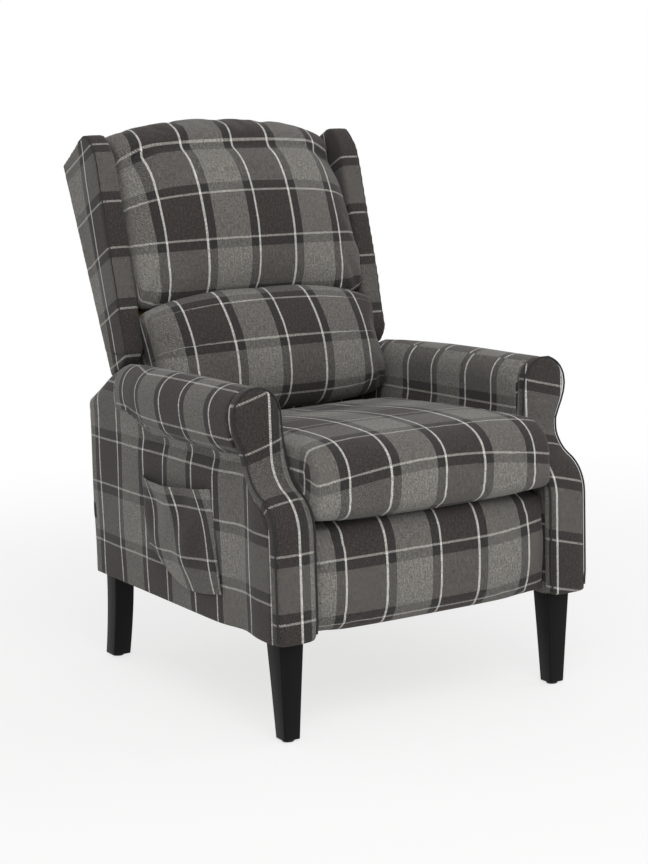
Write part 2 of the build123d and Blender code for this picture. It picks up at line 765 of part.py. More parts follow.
lumbar_half = pillow_half - part_gap
parts["lumbar_pillow"] = pillow(lumbar_half, lumbar_bottom, lumbar_top, lumbar_depth, lumbar_crown, 0,
                                pillow_corner, 0)
parts["head_pillow"] = pillow(wing_in - part_gap, head_bottom, head_top, head_depth, head_crown, head_rise,
                              head_brow, head_fall)

# Side pocket on the left arm: a pouch open at the top
pocket_outline = Polyline((pocket_front_low_y, pocket_front_low_z), (pocket_toe_y, pocket_toe_z),
                          (pocket_heel_y, pocket_heel_z), (pocket_rear_y, pocket_rear_top),
                          (pocket_front_y, pocket_front_top), close=True)
pocket_open_z = pocket_front_top + pocket_depth
pocket_inside = Polyline((pocket_front_low_y + pocket_wall, pocket_front_low_z + pocket_wall),
                         (pocket_toe_y - pocket_wall / 3, pocket_toe_z + pocket_wall),
                         (pocket_heel_y - pocket_wall, pocket_heel_z + pocket_wall),
                         (pocket_rear_y - pocket_wall, pocket_open_z),
                         (pocket_front_y + pocket_wall, pocket_open_z), close=True)
pocket = prism(pocket_outline, arm_outer, arm_outer + pocket_depth)
pocket = pocket - prism(pocket_inside, arm_outer, arm_outer + pocket_depth - pocket_wall)
parts["side_pocket"] = flip(solid_of(pocket))
parts["seam_tab"] = flip(slab(arm_outer, arm_outer + tab_thickness, arm_rear_y - tab_inset - tab_width,
                             arm_rear_y - tab_inset, tab_low, tab_low + tab_height))

# Origin: floor level, centred on the chair's width and depth
fronts = [shape.bounding_box().min.Y for shape in parts.values()]
rears = [shape.bounding_box().max.Y for shape in parts.values()]
centre_y = (min(fronts) + max(rears)) / 2
print("centre_y", round(centre_y, 3), "depth", round(max(rears) - min(fronts), 2))
os.makedirs("parts", exist_ok=True)
for node, shape in parts.items():
    export_step(Pos(0, -centre_y, 0) * shape, "parts/" + node + ".step")
print(len(parts), "nodes")
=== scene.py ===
"""Wing-back reclining chair in a woven check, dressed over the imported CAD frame."""
import json
import logging
import math
from dataclasses import dataclass
from enum import Enum
from typing import Any, Callable, Sequence

import bpy
import numpy as np
from mathutils import Matrix, Vector


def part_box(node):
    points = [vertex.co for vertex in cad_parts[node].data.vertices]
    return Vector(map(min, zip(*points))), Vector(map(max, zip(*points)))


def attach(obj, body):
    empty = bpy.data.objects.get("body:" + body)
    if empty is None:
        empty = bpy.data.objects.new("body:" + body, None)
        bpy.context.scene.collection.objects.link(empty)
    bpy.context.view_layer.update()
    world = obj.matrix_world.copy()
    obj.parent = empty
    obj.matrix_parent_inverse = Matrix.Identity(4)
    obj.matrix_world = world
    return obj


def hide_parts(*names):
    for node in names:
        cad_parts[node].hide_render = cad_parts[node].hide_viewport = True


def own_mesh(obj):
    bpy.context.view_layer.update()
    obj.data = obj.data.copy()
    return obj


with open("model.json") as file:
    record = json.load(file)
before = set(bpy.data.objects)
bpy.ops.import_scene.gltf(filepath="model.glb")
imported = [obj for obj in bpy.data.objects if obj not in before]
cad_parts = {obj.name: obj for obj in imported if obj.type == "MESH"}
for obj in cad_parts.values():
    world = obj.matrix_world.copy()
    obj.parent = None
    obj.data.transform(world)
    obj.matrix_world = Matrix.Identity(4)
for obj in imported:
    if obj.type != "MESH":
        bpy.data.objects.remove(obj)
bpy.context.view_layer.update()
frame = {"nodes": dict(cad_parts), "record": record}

log = logging.getLogger("recliner")

# Sizes are in metres. Shapes are written in the chair maker's frame, whose origin lies under the arm fronts.
FACING_FRONT = -0.073
SHIFT = FACING_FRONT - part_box("left_arm_facing")[0][1]
LEAN = math.radians(24.0)
BACK_FOOT = (0.592, 0.594)
FLOOR_GAP = 0.175
# Where the check starts on pieces that share it, across and up.
SEAT_COLUMN = 0.180
SIDE_ROW = -0.352
BACK_COLUMN = 0.190
BACK_ROW = -0.150
Piece = bpy.types.Object
Tree = bpy.types.NodeTree
Rule = Callable[[np.ndarray, np.ndarray], np.ndarray]
Check = tuple[np.ndarray, np.ndarray]
Lay = Callable[[np.ndarray, np.ndarray], Check]


class Side(Enum):
    """Which side of the chair, as seen by someone who faces it."""

    LEFT = -1
    RIGHT = 1

    @property
    def word(self) -> str:
        """The side's name in a piece's name."""
        return self.name.lower()


def spot(x: float, y: float, z: float) -> Vector:
    """A point of the maker's frame in the shared frame."""
    return Vector((x, y - SHIFT, z))


def back_spot(x: float, up: float, ahead: float) -> Vector:
    """A point given up the leaning back and ahead of its rear face."""
    y = BACK_FOOT[0] + up * math.sin(LEAN) - ahead * math.cos(LEAN)
    z = BACK_FOOT[1] + up * math.cos(LEAN) + ahead * math.sin(LEAN)
    return spot(x, y, z)


def lean_out(points: np.ndarray) -> tuple[np.ndarray, np.ndarray]:
    """Turns points of the maker's frame to the back's own directions.

    Args:
        points: rows of x, y, z.

    Returns:
        How far up the back and how far ahead of its rear face each point lies.
    """
    y = points[:, 1] - BACK_FOOT[0]
    z = points[:, 2] - BACK_FOOT[1]
    return y * math.sin(LEAN) + z * math.cos(LEAN), z * math.sin(LEAN) - y * math.cos(LEAN)


def partway(value: np.ndarray, start: float, run: float) -> np.ndarray:
    """How much of a run from a start each value has passed, from 0 to 1."""
    return np.clip((value - start) / run, 0, 1)


def eased(part: np.ndarray) -> np.ndarray:
    """A run from 0 to 1 with its ends rounded off."""
    return part * part * (3 - 2 * part)


# Workbench


def only(obj: Piece) -> None:
    """Selects this object alone and makes it active."""
    bpy.ops.object.select_all(action="DESELECT")
    obj.select_set(True)
    bpy.context.view_layer.objects.active = obj


def in_edit(obj: Piece, *steps: Callable[[], Any]) -> None:
    """Runs steps in edit mode with the whole mesh selected.

    Args:
        obj: the piece to work on.
        steps: calls to make one after another.
    """
    only(obj)
    bpy.ops.object.mode_set(mode="EDIT")
    bpy.ops.mesh.select_all(action="SELECT")
    for step in steps:
        step()
    bpy.ops.object.mode_set(mode="OBJECT")


def grid(name: str, across: int, along: int) -> tuple[Piece, np.ndarray]:
    """Adds a flat grid to be shaped.

    Args:
        name: the piece's name.
        across: faces across.
        along: faces along.

    Returns:
        The object, and each vertex's column and row.
    """
    bpy.ops.object.select_all(action="DESELECT")
    bpy.ops.mesh.primitive_grid_add(x_subdivisions=across, y_subdivisions=along, size=1.0)
    obj = bpy.context.object
    obj.name = obj.data.name = name
    flat = points_of(obj, raw=True)
    places = np.rint((flat[:, :2] + 0.5) * np.array([across, along])).astype(int)
    return obj, places


def points_of(obj: Piece, raw: bool = False) -> np.ndarray:
    """Vertex places, in the maker's frame unless raw."""
    got = np.empty(len(obj.data.vertices) * 3)
    obj.data.vertices.foreach_get("co", got)
    got = got.reshape(-1, 3)
    if not raw:
        got[:, 1] += SHIFT
    return got


def put_points(obj: Piece, points: np.ndarray, raw: bool = False) -> None:
    """Sets vertex places, given in the maker's frame unless raw."""
    placed = points.copy()
    if not raw:
        placed[:, 1] -= SHIFT
    obj.data.vertices.foreach_set("co", placed.reshape(-1))
    obj.data.update()


def normals_of(obj: Piece) -> np.ndarray:
    """Vertex normals as rows."""
    got = np.empty(len(obj.data.vertices) * 3)
    obj.data.vertices.foreach_get("normal", got)
    return got.reshape(-1, 3)


def reshape(obj: Piece, rule: Rule) -> None:
    """Moves every vertex by a rule of its place and normal, in the maker's frame."""
    put_points(obj, rule(points_of(obj), normals_of(obj)))


def rolled(name: str, rings: Sequence[Sequence[Vector]]) -> Piece:
    """Rolls a grid into a closed body that runs through the rings.

    Args:
        name: the piece's name.
        rings: rings of equal count, from one end to the other.

    Returns:
        The closed body with its normals outward.
    """
    around = len(rings[0])
    obj, places = grid(name, around, len(rings) - 1)
    placed = np.array([rings[row][col % around] for col, row in places])
    put_points(obj, placed, raw=True)
    in_edit(
        obj,
        lambda: bpy.ops.mesh.remove_doubles(threshold=1e-6),
        lambda: bpy.ops.mesh.fill_holes(sides=0),
        lambda: bpy.ops.mesh.select_all(action="SELECT"),
        lambda: bpy.ops.mesh.normals_make_consistent(inside=False),
    )
    return obj


def extruded(name: str, outline: Sequence[tuple[float, float]], x0: float, x1: float) -> Piece:
    """Cuts an outline of y and z and extrudes it across the chair.

    Args:
        name: the piece's name.
        outline: corners in order, in the maker's frame.
        x0: where the slab starts.
        x1: where it ends.

    Returns:
        The closed slab.
    """
    bpy.ops.object.select_all(action="DESELECT")
    bpy.ops.mesh.primitive_circle_add(vertices=len(outline), fill_type="NGON")
    obj = bpy.context.object
    obj.name = obj.data.name = name
    for vertex, (y, z) in zip(obj.data.vertices, outline):
        vertex.co = spot(x0, y, z)
    move = {"value": (x1 - x0, 0.0, 0.0)}
    in_edit(
        obj,
        lambda: bpy.ops.mesh.extrude_region_move(TRANSFORM_OT_translate=move),
        lambda: bpy.ops.mesh.select_all(action="SELECT"),
        lambda: bpy.ops.mesh.normals_make_consistent(inside=False),
    )
    return obj


def back_slab(name: str, cut: Sequence[tuple[float, float]], x0: float, x1: float) -> Piece:
    """Extrudes an outline that is given up the back and ahead of its rear face."""
    flat = [back_spot(0.0, up, ahead) for up, ahead in cut]
    return extruded(name, [(p.y + SHIFT, p.z) for p in flat], x0, x1)


def copied(name: str, cad: str) -> Piece:
    """A merged copy of a CAD node's mesh, to be padded out.

    Args:
        name: the new piece's name.
        cad: the CAD node.

    Returns:
        The copy, with its place in its mesh.
    """
    source = frame["nodes"][cad]
    mesh = source.data.copy()
    mesh.transform(source.matrix_world)
    mesh.materials.clear()
    obj = bpy.data.objects.new(name, mesh)
    mesh.name = name
    bpy.context.scene.collection.objects.link(obj)
    in_edit(obj, lambda: bpy.ops.mesh.remove_doubles(threshold=1e-5))
    return obj


def finish_with(obj: Piece, kind: str, **settings: Any) -> None:
    """Adds a modifier, sets it and applies it.

    Args:
        obj: the piece.
        kind: the modifier's type.
        settings: its values.
    """
    only(obj)
    made = obj.modifiers.new(kind.lower(), kind)
    for key, value in settings.items():
        setattr(made, key, value)
    bpy.ops.object.modifier_apply(modifier=made.name)


def smooth(obj: Piece, angle: float | None = None) -> None:
    """Shades a piece smooth, only up to an angle in degrees if one is given."""
    only(obj)
    if angle is None:
        bpy.ops.object.shade_smooth()
    else:
        bpy.ops.object.shade_smooth_by_angle(angle=math.radians(angle))


def subdivide(obj: Piece, levels: int = 1) -> None:
    """Divides every face and rounds the piece off."""
    finish_with(obj, "SUBSURF", levels=levels, render_levels=levels)


def soften(obj: Piece, voxel: float, rounds: int) -> None:
    """Remeshes a body to even quads and rounds its edges off.

    Args:
        obj: the piece.
        voxel: the quad's size.
        rounds: how often it is smoothed.
    """
    finish_with(obj, "REMESH", mode="VOXEL", voxel_size=voxel)
    finish_with(obj, "SMOOTH", factor=0.5, iterations=rounds)


def stuff(obj: Piece, held: Rule, most: float, pressure: float = 4.0) -> None:
    """Fills a remeshed cover by Cloth with inside pressure and no gravity.

    Args:
        obj: the cover, a little smaller than the stuffed piece.
        held: gives 1 where the cover is held and 0 where it is free.
        most: the furthest that a point may move.
        pressure: the pressure inside.
    """
    before = points_of(obj)
    weights = held(before, normals_of(obj))
    group = obj.vertex_groups.new(name="held")
    for index in np.nonzero(weights > 0.0)[0]:
        group.add([int(index)], float(weights[index]), "REPLACE")
    only(obj)
    cloth = obj.modifiers.new("stuffing", "CLOTH")
    settings = {"quality": 4, "mass": 0.3, "tension_stiffness": 12.0, "compression_stiffness": 12.0,
                "shear_stiffness": 5.0, "bending_stiffness": 0.6, "use_pressure": True,
                "uniform_pressure_force": pressure, "vertex_group_mass": "held"}
    for key, value in settings.items():
        setattr(cloth.settings, key, value)
    cloth.settings.effector_weights.gravity = 0.0
    cloth.collision_settings.use_collision = False
    frames = 20
    cloth.point_cache.frame_start = 1
    cloth.point_cache.frame_end = frames
    for step in range(1, frames + 1):
        bpy.context.scene.frame_set(step)
    bpy.ops.object.modifier_apply(modifier=cloth.name)
    bpy.context.scene.frame_set(1)
    obj.vertex_groups.clear()
    moved = points_of(obj) - before
    length = np.maximum(np.linalg.norm(moved, axis=1), 1e-9)
    moved *= (most * np.tanh(length / most) / length)[:, None]
    put_points(obj, before + moved)
    finish_with(obj, "SMOOTH", factor=0.5, iterations=3)


def tube(name: str, path: Sequence[Vector], radius: float) -> Piece:
    """Draws a round welt along a path.

    Args:
        name: the piece's name.
        path: its centre line.
        radius: its radius.

    Returns:
        The closed tube.
    """
    rings = []
    sides = 8
    turn = [2.0 * math.pi * step / sides for step in range(sides)]
    across = Vector((1.0, 0.0, 0.0))
    for index, point in enumerate(path):
        before = path[max(index - 1, 0)]
        after = path[min(index + 1, len(path) - 1)]
        ahead = (after - before).normalized()
        across = (across - ahead * across.dot(ahead)).normalized()
        over = ahead.cross(across)
        rings.append([point + (across * math.cos(a) + over * math.sin(a)) * radius for a in turn])
    obj = rolled(name, rings)
    smooth(obj, 70.0)
    return obj


def spaced(path: Sequence[Vector], gap: float) -> list[Vector]:
    """Sets points along a path at an even gap."""
    line = np.array(path)
    run = np.concatenate([[0.0], np.cumsum(np.linalg.norm(np.diff(line, axis=0), axis=1))])
    marks = np.linspace(0.0, run[-1], max(int(run[-1] / gap), 2))
    return [Vector([np.interp(mark, run, line[:, axis]) for axis in range(3)]) for mark in marks]


def beside(points: np.ndarray, line: np.ndarray) -> np.ndarray:
    """How far points lie from a line.

    Args:
        points: points in the plane, one a row.
        line: the corners of the line, one a row.

    Returns:
        The distance of each point.
    """
    steps = np.linspace(0, 1, 12)[:, None]
    dense = np.concatenate([p + (q - p) * steps for p, q in zip(line[:-1], line[1:])])
    return np.array([np.sqrt(((dense - point) ** 2).sum(axis=1).min()) for point in points])


def along(points: np.ndarray, line: np.ndarray) -> np.ndarray:
    """How far along a polyline each point's nearest place lies.

    Args:
        points: rows of two numbers.
        line: the polyline's corners, rows of two numbers.

    Returns:
        The distance from the polyline's start, for each point.
    """
    start, step = line[:-1], np.diff(line, axis=0)
    length = np.maximum(np.linalg.norm(step, axis=1), 1e-9)
    run = np.concatenate([[0.0], np.cumsum(length)])[:-1]
    rel = points[:, None, :] - start[None, :, :]
    part = np.clip((rel * step).sum(axis=2) / (length ** 2), 0.0, 1.0)
    gap = np.linalg.norm(rel - part[..., None] * step, axis=2)
    best = gap.argmin(axis=1)
    rows = np.arange(len(points))
    return run[best] + part[rows, best] * length[best]


def lay_cloth(obj: Piece, rule: Lay) -> None:
    """Lays the cloth on a piece: a UV map in metres, so that the check follows the surface.

    Args:
        obj: the piece.
        rule: gives u and v from places and face normals in the maker's frame.
    """
    mesh = obj.data
    corners = np.empty(len(mesh.loops), dtype=np.int64)
    mesh.loops.foreach_get("vertex_index", corners)
    counts = np.empty(len(mesh.polygons), dtype=np.int64)
    mesh.polygons.foreach_get("loop_total", counts)
    faces = np.empty(len(mesh.polygons) * 3)
    mesh.polygons.foreach_get("normal", faces)
    laid = np.stack(rule(points_of(obj)[corners], np.repeat(faces.reshape(-1, 3), counts, axis=0)), axis=1)
    layer = mesh.uv_layers.get("cloth") or mesh.uv_layers.new(name="cloth")
    layer.data.foreach_set("uv", laid.reshape(-1))


def dress(obj: Piece, body: str, finish: "Finish", slot: str, *nodes: str) -> None:
    """Gives a piece its material, its body and the CAD nodes that it stands for.

    Args:
        obj: the piece.
        body: the CAD body that carries it.
        finish: what it is made of.
        slot: the record's material slot; not used.
        nodes: the CAD nodes that it replaces.
    """
    obj.data.materials.clear()
    obj.data.materials.append(finish.material())
    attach(obj, body)
    if nodes:
        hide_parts(*nodes)
    log.info("%s: %d faces on %s", obj.name, len(obj.data.polygons), body)


def clothe(obj: Piece, body: str, rule: Lay, *nodes: str) -> None:
    """Dresses a piece in the twill, with its check laid by a rule.

    Args:
        obj: the piece.
        body: the CAD body that carries it.
        rule: gives u and v from places and face normals in the maker's frame.
        nodes: the CAD nodes that it replaces.
    """
    lay_cloth(obj, rule)
    dress(obj, body, TWILL, "plaid_fabric", *nodes)


# Finishes


def linear(code: str) -> tuple[float, float, float, float]:
    """An sRGB hex colour as linear light."""
    parts = [int(code[i:i + 2], 16) / 255.0 for i in (1, 3, 5)]
    light = [c / 12.92 if c <= 0.04045 else ((c + 0.055) / 1.055) ** 2.4 for c in parts]
    return (light[0], light[1], light[2], 1.0)


def wire(tree: Tree, made: Any, inputs: dict[Any, Any]) -> None:
    """Sets each named or numbered input of a node to a value, or links it to an output socket."""
    for key, value in inputs.items():
        if isinstance(value, bpy.types.NodeSocket):
            tree.links.new(value, made.inputs[key])
        else:
            made.inputs[key].default_value = value


def node(tree: Tree, kind: str, inputs: dict[Any, Any] | None = None, **settings: Any) -> Any:
    """Adds a shader node with its settings and links.

    Args:
        tree: the material's or world's tree.
        kind: the node's type, without the words that all types start with.
        inputs: a value or an output socket for each named or numbered input.
        settings: the node's own values.

    Returns:
        The node.
    """
    made = tree.nodes.new("ShaderNode" + kind)
    for key, value in settings.items():
        setattr(made, key, value)
    wire(tree, made, inputs or {})
    return made


def maths(tree: Tree, operation: str, *values: Any) -> Any:
    """The outcome of a sum on values or sockets."""
    return node(tree, "Math", dict(enumerate(values)), operation=operation).outputs[0]


def noise(tree: Tree, where: Any, scale: float, **more: float) -> Any:
    """The value of a noise texture, with its detail and the like in more."""
    inputs = {key.title(): value for key, value in more.items()}
    return node(tree, "TexNoise", {"Vector": where, "Scale": scale, **inputs}).outputs[0]


def spread(tree: Tree, value: Any, low: float, high: float, start: float = 0.0,
           end: float = 1.0) -> Any:
    """Maps a value that runs from start to end to one that runs from low to high."""
    return node(tree, "MapRange", {0: value, 1: start, 2: end, 3: low, 4: high}).outputs[0]


def bump(tree: Tree, height: Any, strength: float, distance: float) -> Any:
    """The normal of a surface with a fine relief."""
    return node(tree, "Bump", {"Strength": strength, "Distance": distance, "Height": height}).outputs[0]


def object_place(tree: Tree) -> Any:
    """The place on a piece, in metres."""
    return node(tree, "TexCoord").outputs["Object"]


def tones(tree: Tree, value: Any, stops: Sequence[tuple[float, Any]], kind: str = "LINEAR") -> Any:
    """The colour that a value picks from a ramp.

    Args:
        tree: the material's tree.
        value: the socket that picks.
        stops: places and colours of the ramp.
        kind: how the ramp goes from one stop to the next.

    Returns:
        The colour's socket.
    """
    made = node(tree, "ValToRGB", {0: value})
    ramp = made.color_ramp
    ramp.interpolation = kind
    while len(ramp.elements) < len(stops):
        ramp.elements.new(1.0)
    for element, (place, _) in zip(ramp.elements, stops):
        element.position = place
    for element, (_, colour) in zip(ramp.elements, stops):
        element.color = colour
    return made.outputs[0]


@dataclass(frozen=True)
class Finish:
    """What a surface is made of. Each kind draws its own nodes."""

    name: str

    def material(self) -> bpy.types.Material:
        """The material, made once."""
        found = bpy.data.materials.get(self.name)
        if found:
            return found
        made = bpy.data.materials.new(self.name)
        made.use_nodes = True
        tree = made.node_tree
        tree.nodes.clear()
        shader = node(tree, "BsdfPrincipled")
        node(tree, "OutputMaterial", {"Surface": shader.outputs[0]})
        wire(tree, shader, self.draw(tree))
        return made

    def draw(self, tree: Tree) -> dict[str, Any]:
        """Draws the nodes and gives what each input of the shader takes."""
        raise NotImplementedError


@dataclass(frozen=True)
class CheckTwill(Finish):
    """Upholstery twill of spun polyester in a window-pane check: matt, soft, with flecks in the yarn."""

    warp_repeat: float = 0.188
    weft_repeat: float = 0.198
    warp_dark: float = 0.079
    weft_dark: float = 0.086
    pane_line: float = 0.0043
    border: float = 0.016
    # Ribs and flecks are about 1 mm in such cloth. Both are drawn coarser, so that they show.
    rib: float = 0.0046
    flecks_per_metre: float = 270.0
    # The weft's share of the surface, and how far the ribs change it.
    weft_share: float = 0.39
    rib_share: float = 0.2
    dark: str = "#373230"
    edge: str = "#2c2b2a"
    light: str = "#76746f"
    warp_line: str = "#dad8d2"
    weft_line: str = "#c2c0b9"

    def stripes(self, repeat: float, dark: float, line: str) -> list[tuple[float, tuple]]:
        """Places and colours of the stripes in one repeat of the check.

        Args:
            repeat: the repeat's length.
            dark: the dark stripe's width, line to line.
            line: the pane line's colour.

        Returns:
            The stops of a stepped ramp.
        """
        half = self.pane_line / 2 / repeat
        turn = dark / repeat
        rim = self.border / repeat
        white, deep, rim_tone, pale = (linear(c) for c in (line, self.dark, self.edge, self.light))
        return [(0.0, white), (half, deep), (turn - half, white), (turn + half, rim_tone),
                (turn + half + rim, pale), (1.0 - half - rim, rim_tone), (1.0 - half, white)]

    def draw(self, tree: Tree) -> dict[str, Any]:
        """Two sets of stripes cross, and the twill shows now one set and now the other."""
        cloth = node(tree, "UVMap", uv_map="cloth").outputs[0]
        split = node(tree, "SeparateXYZ", {0: cloth}).outputs
        sets = []
        for way, repeat, dark, line in ((split[0], self.warp_repeat, self.warp_dark, self.warp_line),
                                        (split[1], self.weft_repeat, self.weft_dark, self.weft_line)):
            part = maths(tree, "FRACT", maths(tree, "DIVIDE", way, repeat))
            sets.append(tones(tree, part, self.stripes(repeat, dark, line), "CONSTANT"))
        slant = maths(tree, "ADD", split[0], split[1])
        twill = maths(tree, "SINE", maths(tree, "MULTIPLY", slant, 2.0 * math.pi / self.rib))
        over = maths(tree, "MULTIPLY_ADD", twill, self.rib_share, self.weft_share)
        woven = node(tree, "Mix", {0: over, 6: sets[0], 7: sets[1]}, data_type="RGBA").outputs[2]
        fleck = noise(tree, cloth, self.flecks_per_metre, detail=4.0, roughness=0.8)
        drawn_out = node(tree, "Mapping", {0: cloth, 3: (520.0, 70.0, 1.0)}).outputs[0]
        slub = noise(tree, drawn_out, 1.0, detail=2.0)
        wide = noise(tree, cloth, 9.0, detail=3.0)
        tone = spread(tree, fleck, 0.12, 1.88, 0.25, 0.75)
        for value, low, high in ((slub, 0.7, 1.3), (wide, 0.93, 1.07)):
            tone = maths(tree, "MULTIPLY", tone, spread(tree, value, low, high, 0.25, 0.75))
        relief = maths(tree, "MULTIPLY_ADD", twill, 0.25, fleck)
        return {
            "Base Color": node(tree, "VectorMath", {0: woven, 3: tone}, operation="SCALE").outputs[0],
            "Normal": bump(tree, relief, 0.45, 0.0007),
            "Roughness": spread(tree, fleck, 0.82, 0.98),
            "Sheen Weight": 0.12,
            "Sheen Roughness": 0.5,
            "Specular IOR Level": 0.25,
        }


@dataclass(frozen=True)
class Grained(Finish):
    """Wood: long grain along one axis, in raw, stained or ply form."""

    pale: str = "#c9a474"
    deep: str = "#9c7446"
    rough: float = 0.6
    grain: float = 0.004
    stretch: tuple[float, float, float] = (1.0, 0.06, 1.0)
    gloss: float = 0.5
    sheets: float = 0.0

    def draw(self, tree: Tree) -> dict[str, Any]:
        """Stretched noise gives the grain, a finer one the pores, and sheets the edges of the plies."""
        place = object_place(tree)
        turned = node(tree, "Mapping", {0: place, 3: self.stretch}).outputs[0]
        grain = noise(tree, turned, 1.0 / self.grain / 4.0, detail=6.0, roughness=0.62, distortion=0.6)
        if self.sheets:
            across = node(tree, "SeparateXYZ", {0: place}).outputs[0]
            layer = maths(tree, "SINE", maths(tree, "MULTIPLY", across, 2 * math.pi / self.sheets))
            grain = maths(tree, "MULTIPLY_ADD", layer, 0.12, grain)
        pores = noise(tree, turned, 1400.0, detail=2.0)
        return {
            "Base Color": tones(tree, grain, [(0.3, linear(self.deep)), (0.7, linear(self.pale))]),
            "Normal": bump(tree, pores, 0.2, 0.0004),
            "Roughness": spread(tree, pores, self.rough - 0.08, self.rough + 0.1),
            "Specular IOR Level": self.gloss,
        }


@dataclass(frozen=True)
class Metal(Finish):
    """Sheet steel, rolled and plated or painted, with fine rolling marks and scuffs."""

    tone: str = "#b9bcc0"
    scuff: str = "#8d9094"
    metallic: float = 1.0
    rough: float = 0.35

    def draw(self, tree: Tree) -> dict[str, Any]:
        """Long fine marks and wide stains."""
        place = object_place(tree)
        drawn_out = node(tree, "Mapping", {0: place, 3: (600.0, 30.0, 600.0)}).outputs[0]
        marks = noise(tree, drawn_out, 1.0, detail=3.0)
        stain = noise(tree, place, 35.0, detail=4.0)
        return {
            "Base Color": tones(tree, stain, [(0.35, linear(self.scuff)), (0.6, linear(self.tone))]),
            "Roughness": spread(tree, marks, self.rough - 0.1, self.rough + 0.15),
            "Normal": bump(tree, marks, 0.12, 0.0003),
            "Metallic": self.metallic,
        }


@dataclass(frozen=True)
class Woven(Finish):
    """Narrow plain-woven goods: welt cord, ribbon or elastic webbing."""

    tone: str = "#161515"
    thread: str = "#2a2929"
    pitch: float = 0.0022
    rough: float = 0.85

    def draw(self, tree: Tree) -> dict[str, Any]:
        """Crossing threads from two waves, with flecks."""
        place = object_place(tree)
        bands = []
        for way in ("X", "Z"):
            wave = {"Vector": place, "Scale": 1.0 / self.pitch / 6.0, "Distortion": 0.4, "Detail": 1.0}
            bands.append(node(tree, "TexWave", wave, bands_direction=way).outputs[1])
        fleck = noise(tree, place, 700.0, detail=2.0)
        both = maths(tree, "ADD", maths(tree, "MULTIPLY", *bands), fleck)
        return {
            "Base Color": tones(tree, both, [(0.3, linear(self.tone)), (1.0, linear(self.thread))]),
            "Normal": bump(tree, both, 0.4, 0.0005),
            "Roughness": spread(tree, fleck, self.rough - 0.1, self.rough + 0.1),
        }


@dataclass(frozen=True)
class Moulded(Finish):
    """Moulded plastic with a fine spark-eroded grain."""

    tone: str = "#22252a"
    pale: str = "#2d3036"

    def draw(self, tree: Tree) -> dict[str, Any]:
        """Grain of about 0.7 mm and a slight change of tone."""
        place = object_place(tree)
        grain = noise(tree, place, 1400.0, detail=2.0)
        wide = noise(tree, place, 60.0)
        mixed = {0: wide, 6: linear(self.tone), 7: linear(self.pale)}
        return {
            "Base Color": node(tree, "Mix", mixed, data_type="RGBA").outputs[2],
            "Normal": bump(tree, grain, 0.2, 0.0003),
            "Roughness": spread(tree, grain, 0.4, 0.6),
        }


TWILL = CheckTwill("check_twill")
WELT = Woven("black_welt_cord")
BLACK_LEG = Grained("black_lacquered_beech", pale="#131212", deep="#0a0909", rough=0.45, gloss=0.12,
                    stretch=(1.0, 1.0, 0.06))
CAD_FINISHES: dict[str, Finish] = {
    "plaid_fabric": TWILL,
    "black_wood": BLACK_LEG,
    "frame_wood": Grained("sawn_pine"),
    "plywood": Grained("birch_plywood", pale="#d9bd90", deep="#b48f5e", sheets=0.003),
    "zinc_steel": Metal("zinc_plated_steel"),
    "black_steel": Metal("black_painted_steel", tone="#1b1c1e", scuff="#26282b", metallic=0.0, rough=0.45),
    "clip_plastic": Moulded("clip_nylon"),
    "webbing": Woven("elastic_webbing", tone="#3b3f45", thread="#8a8f96", pitch=0.003),
    "tab_ribbon": Woven("black_ribbon"),
}


# Arms


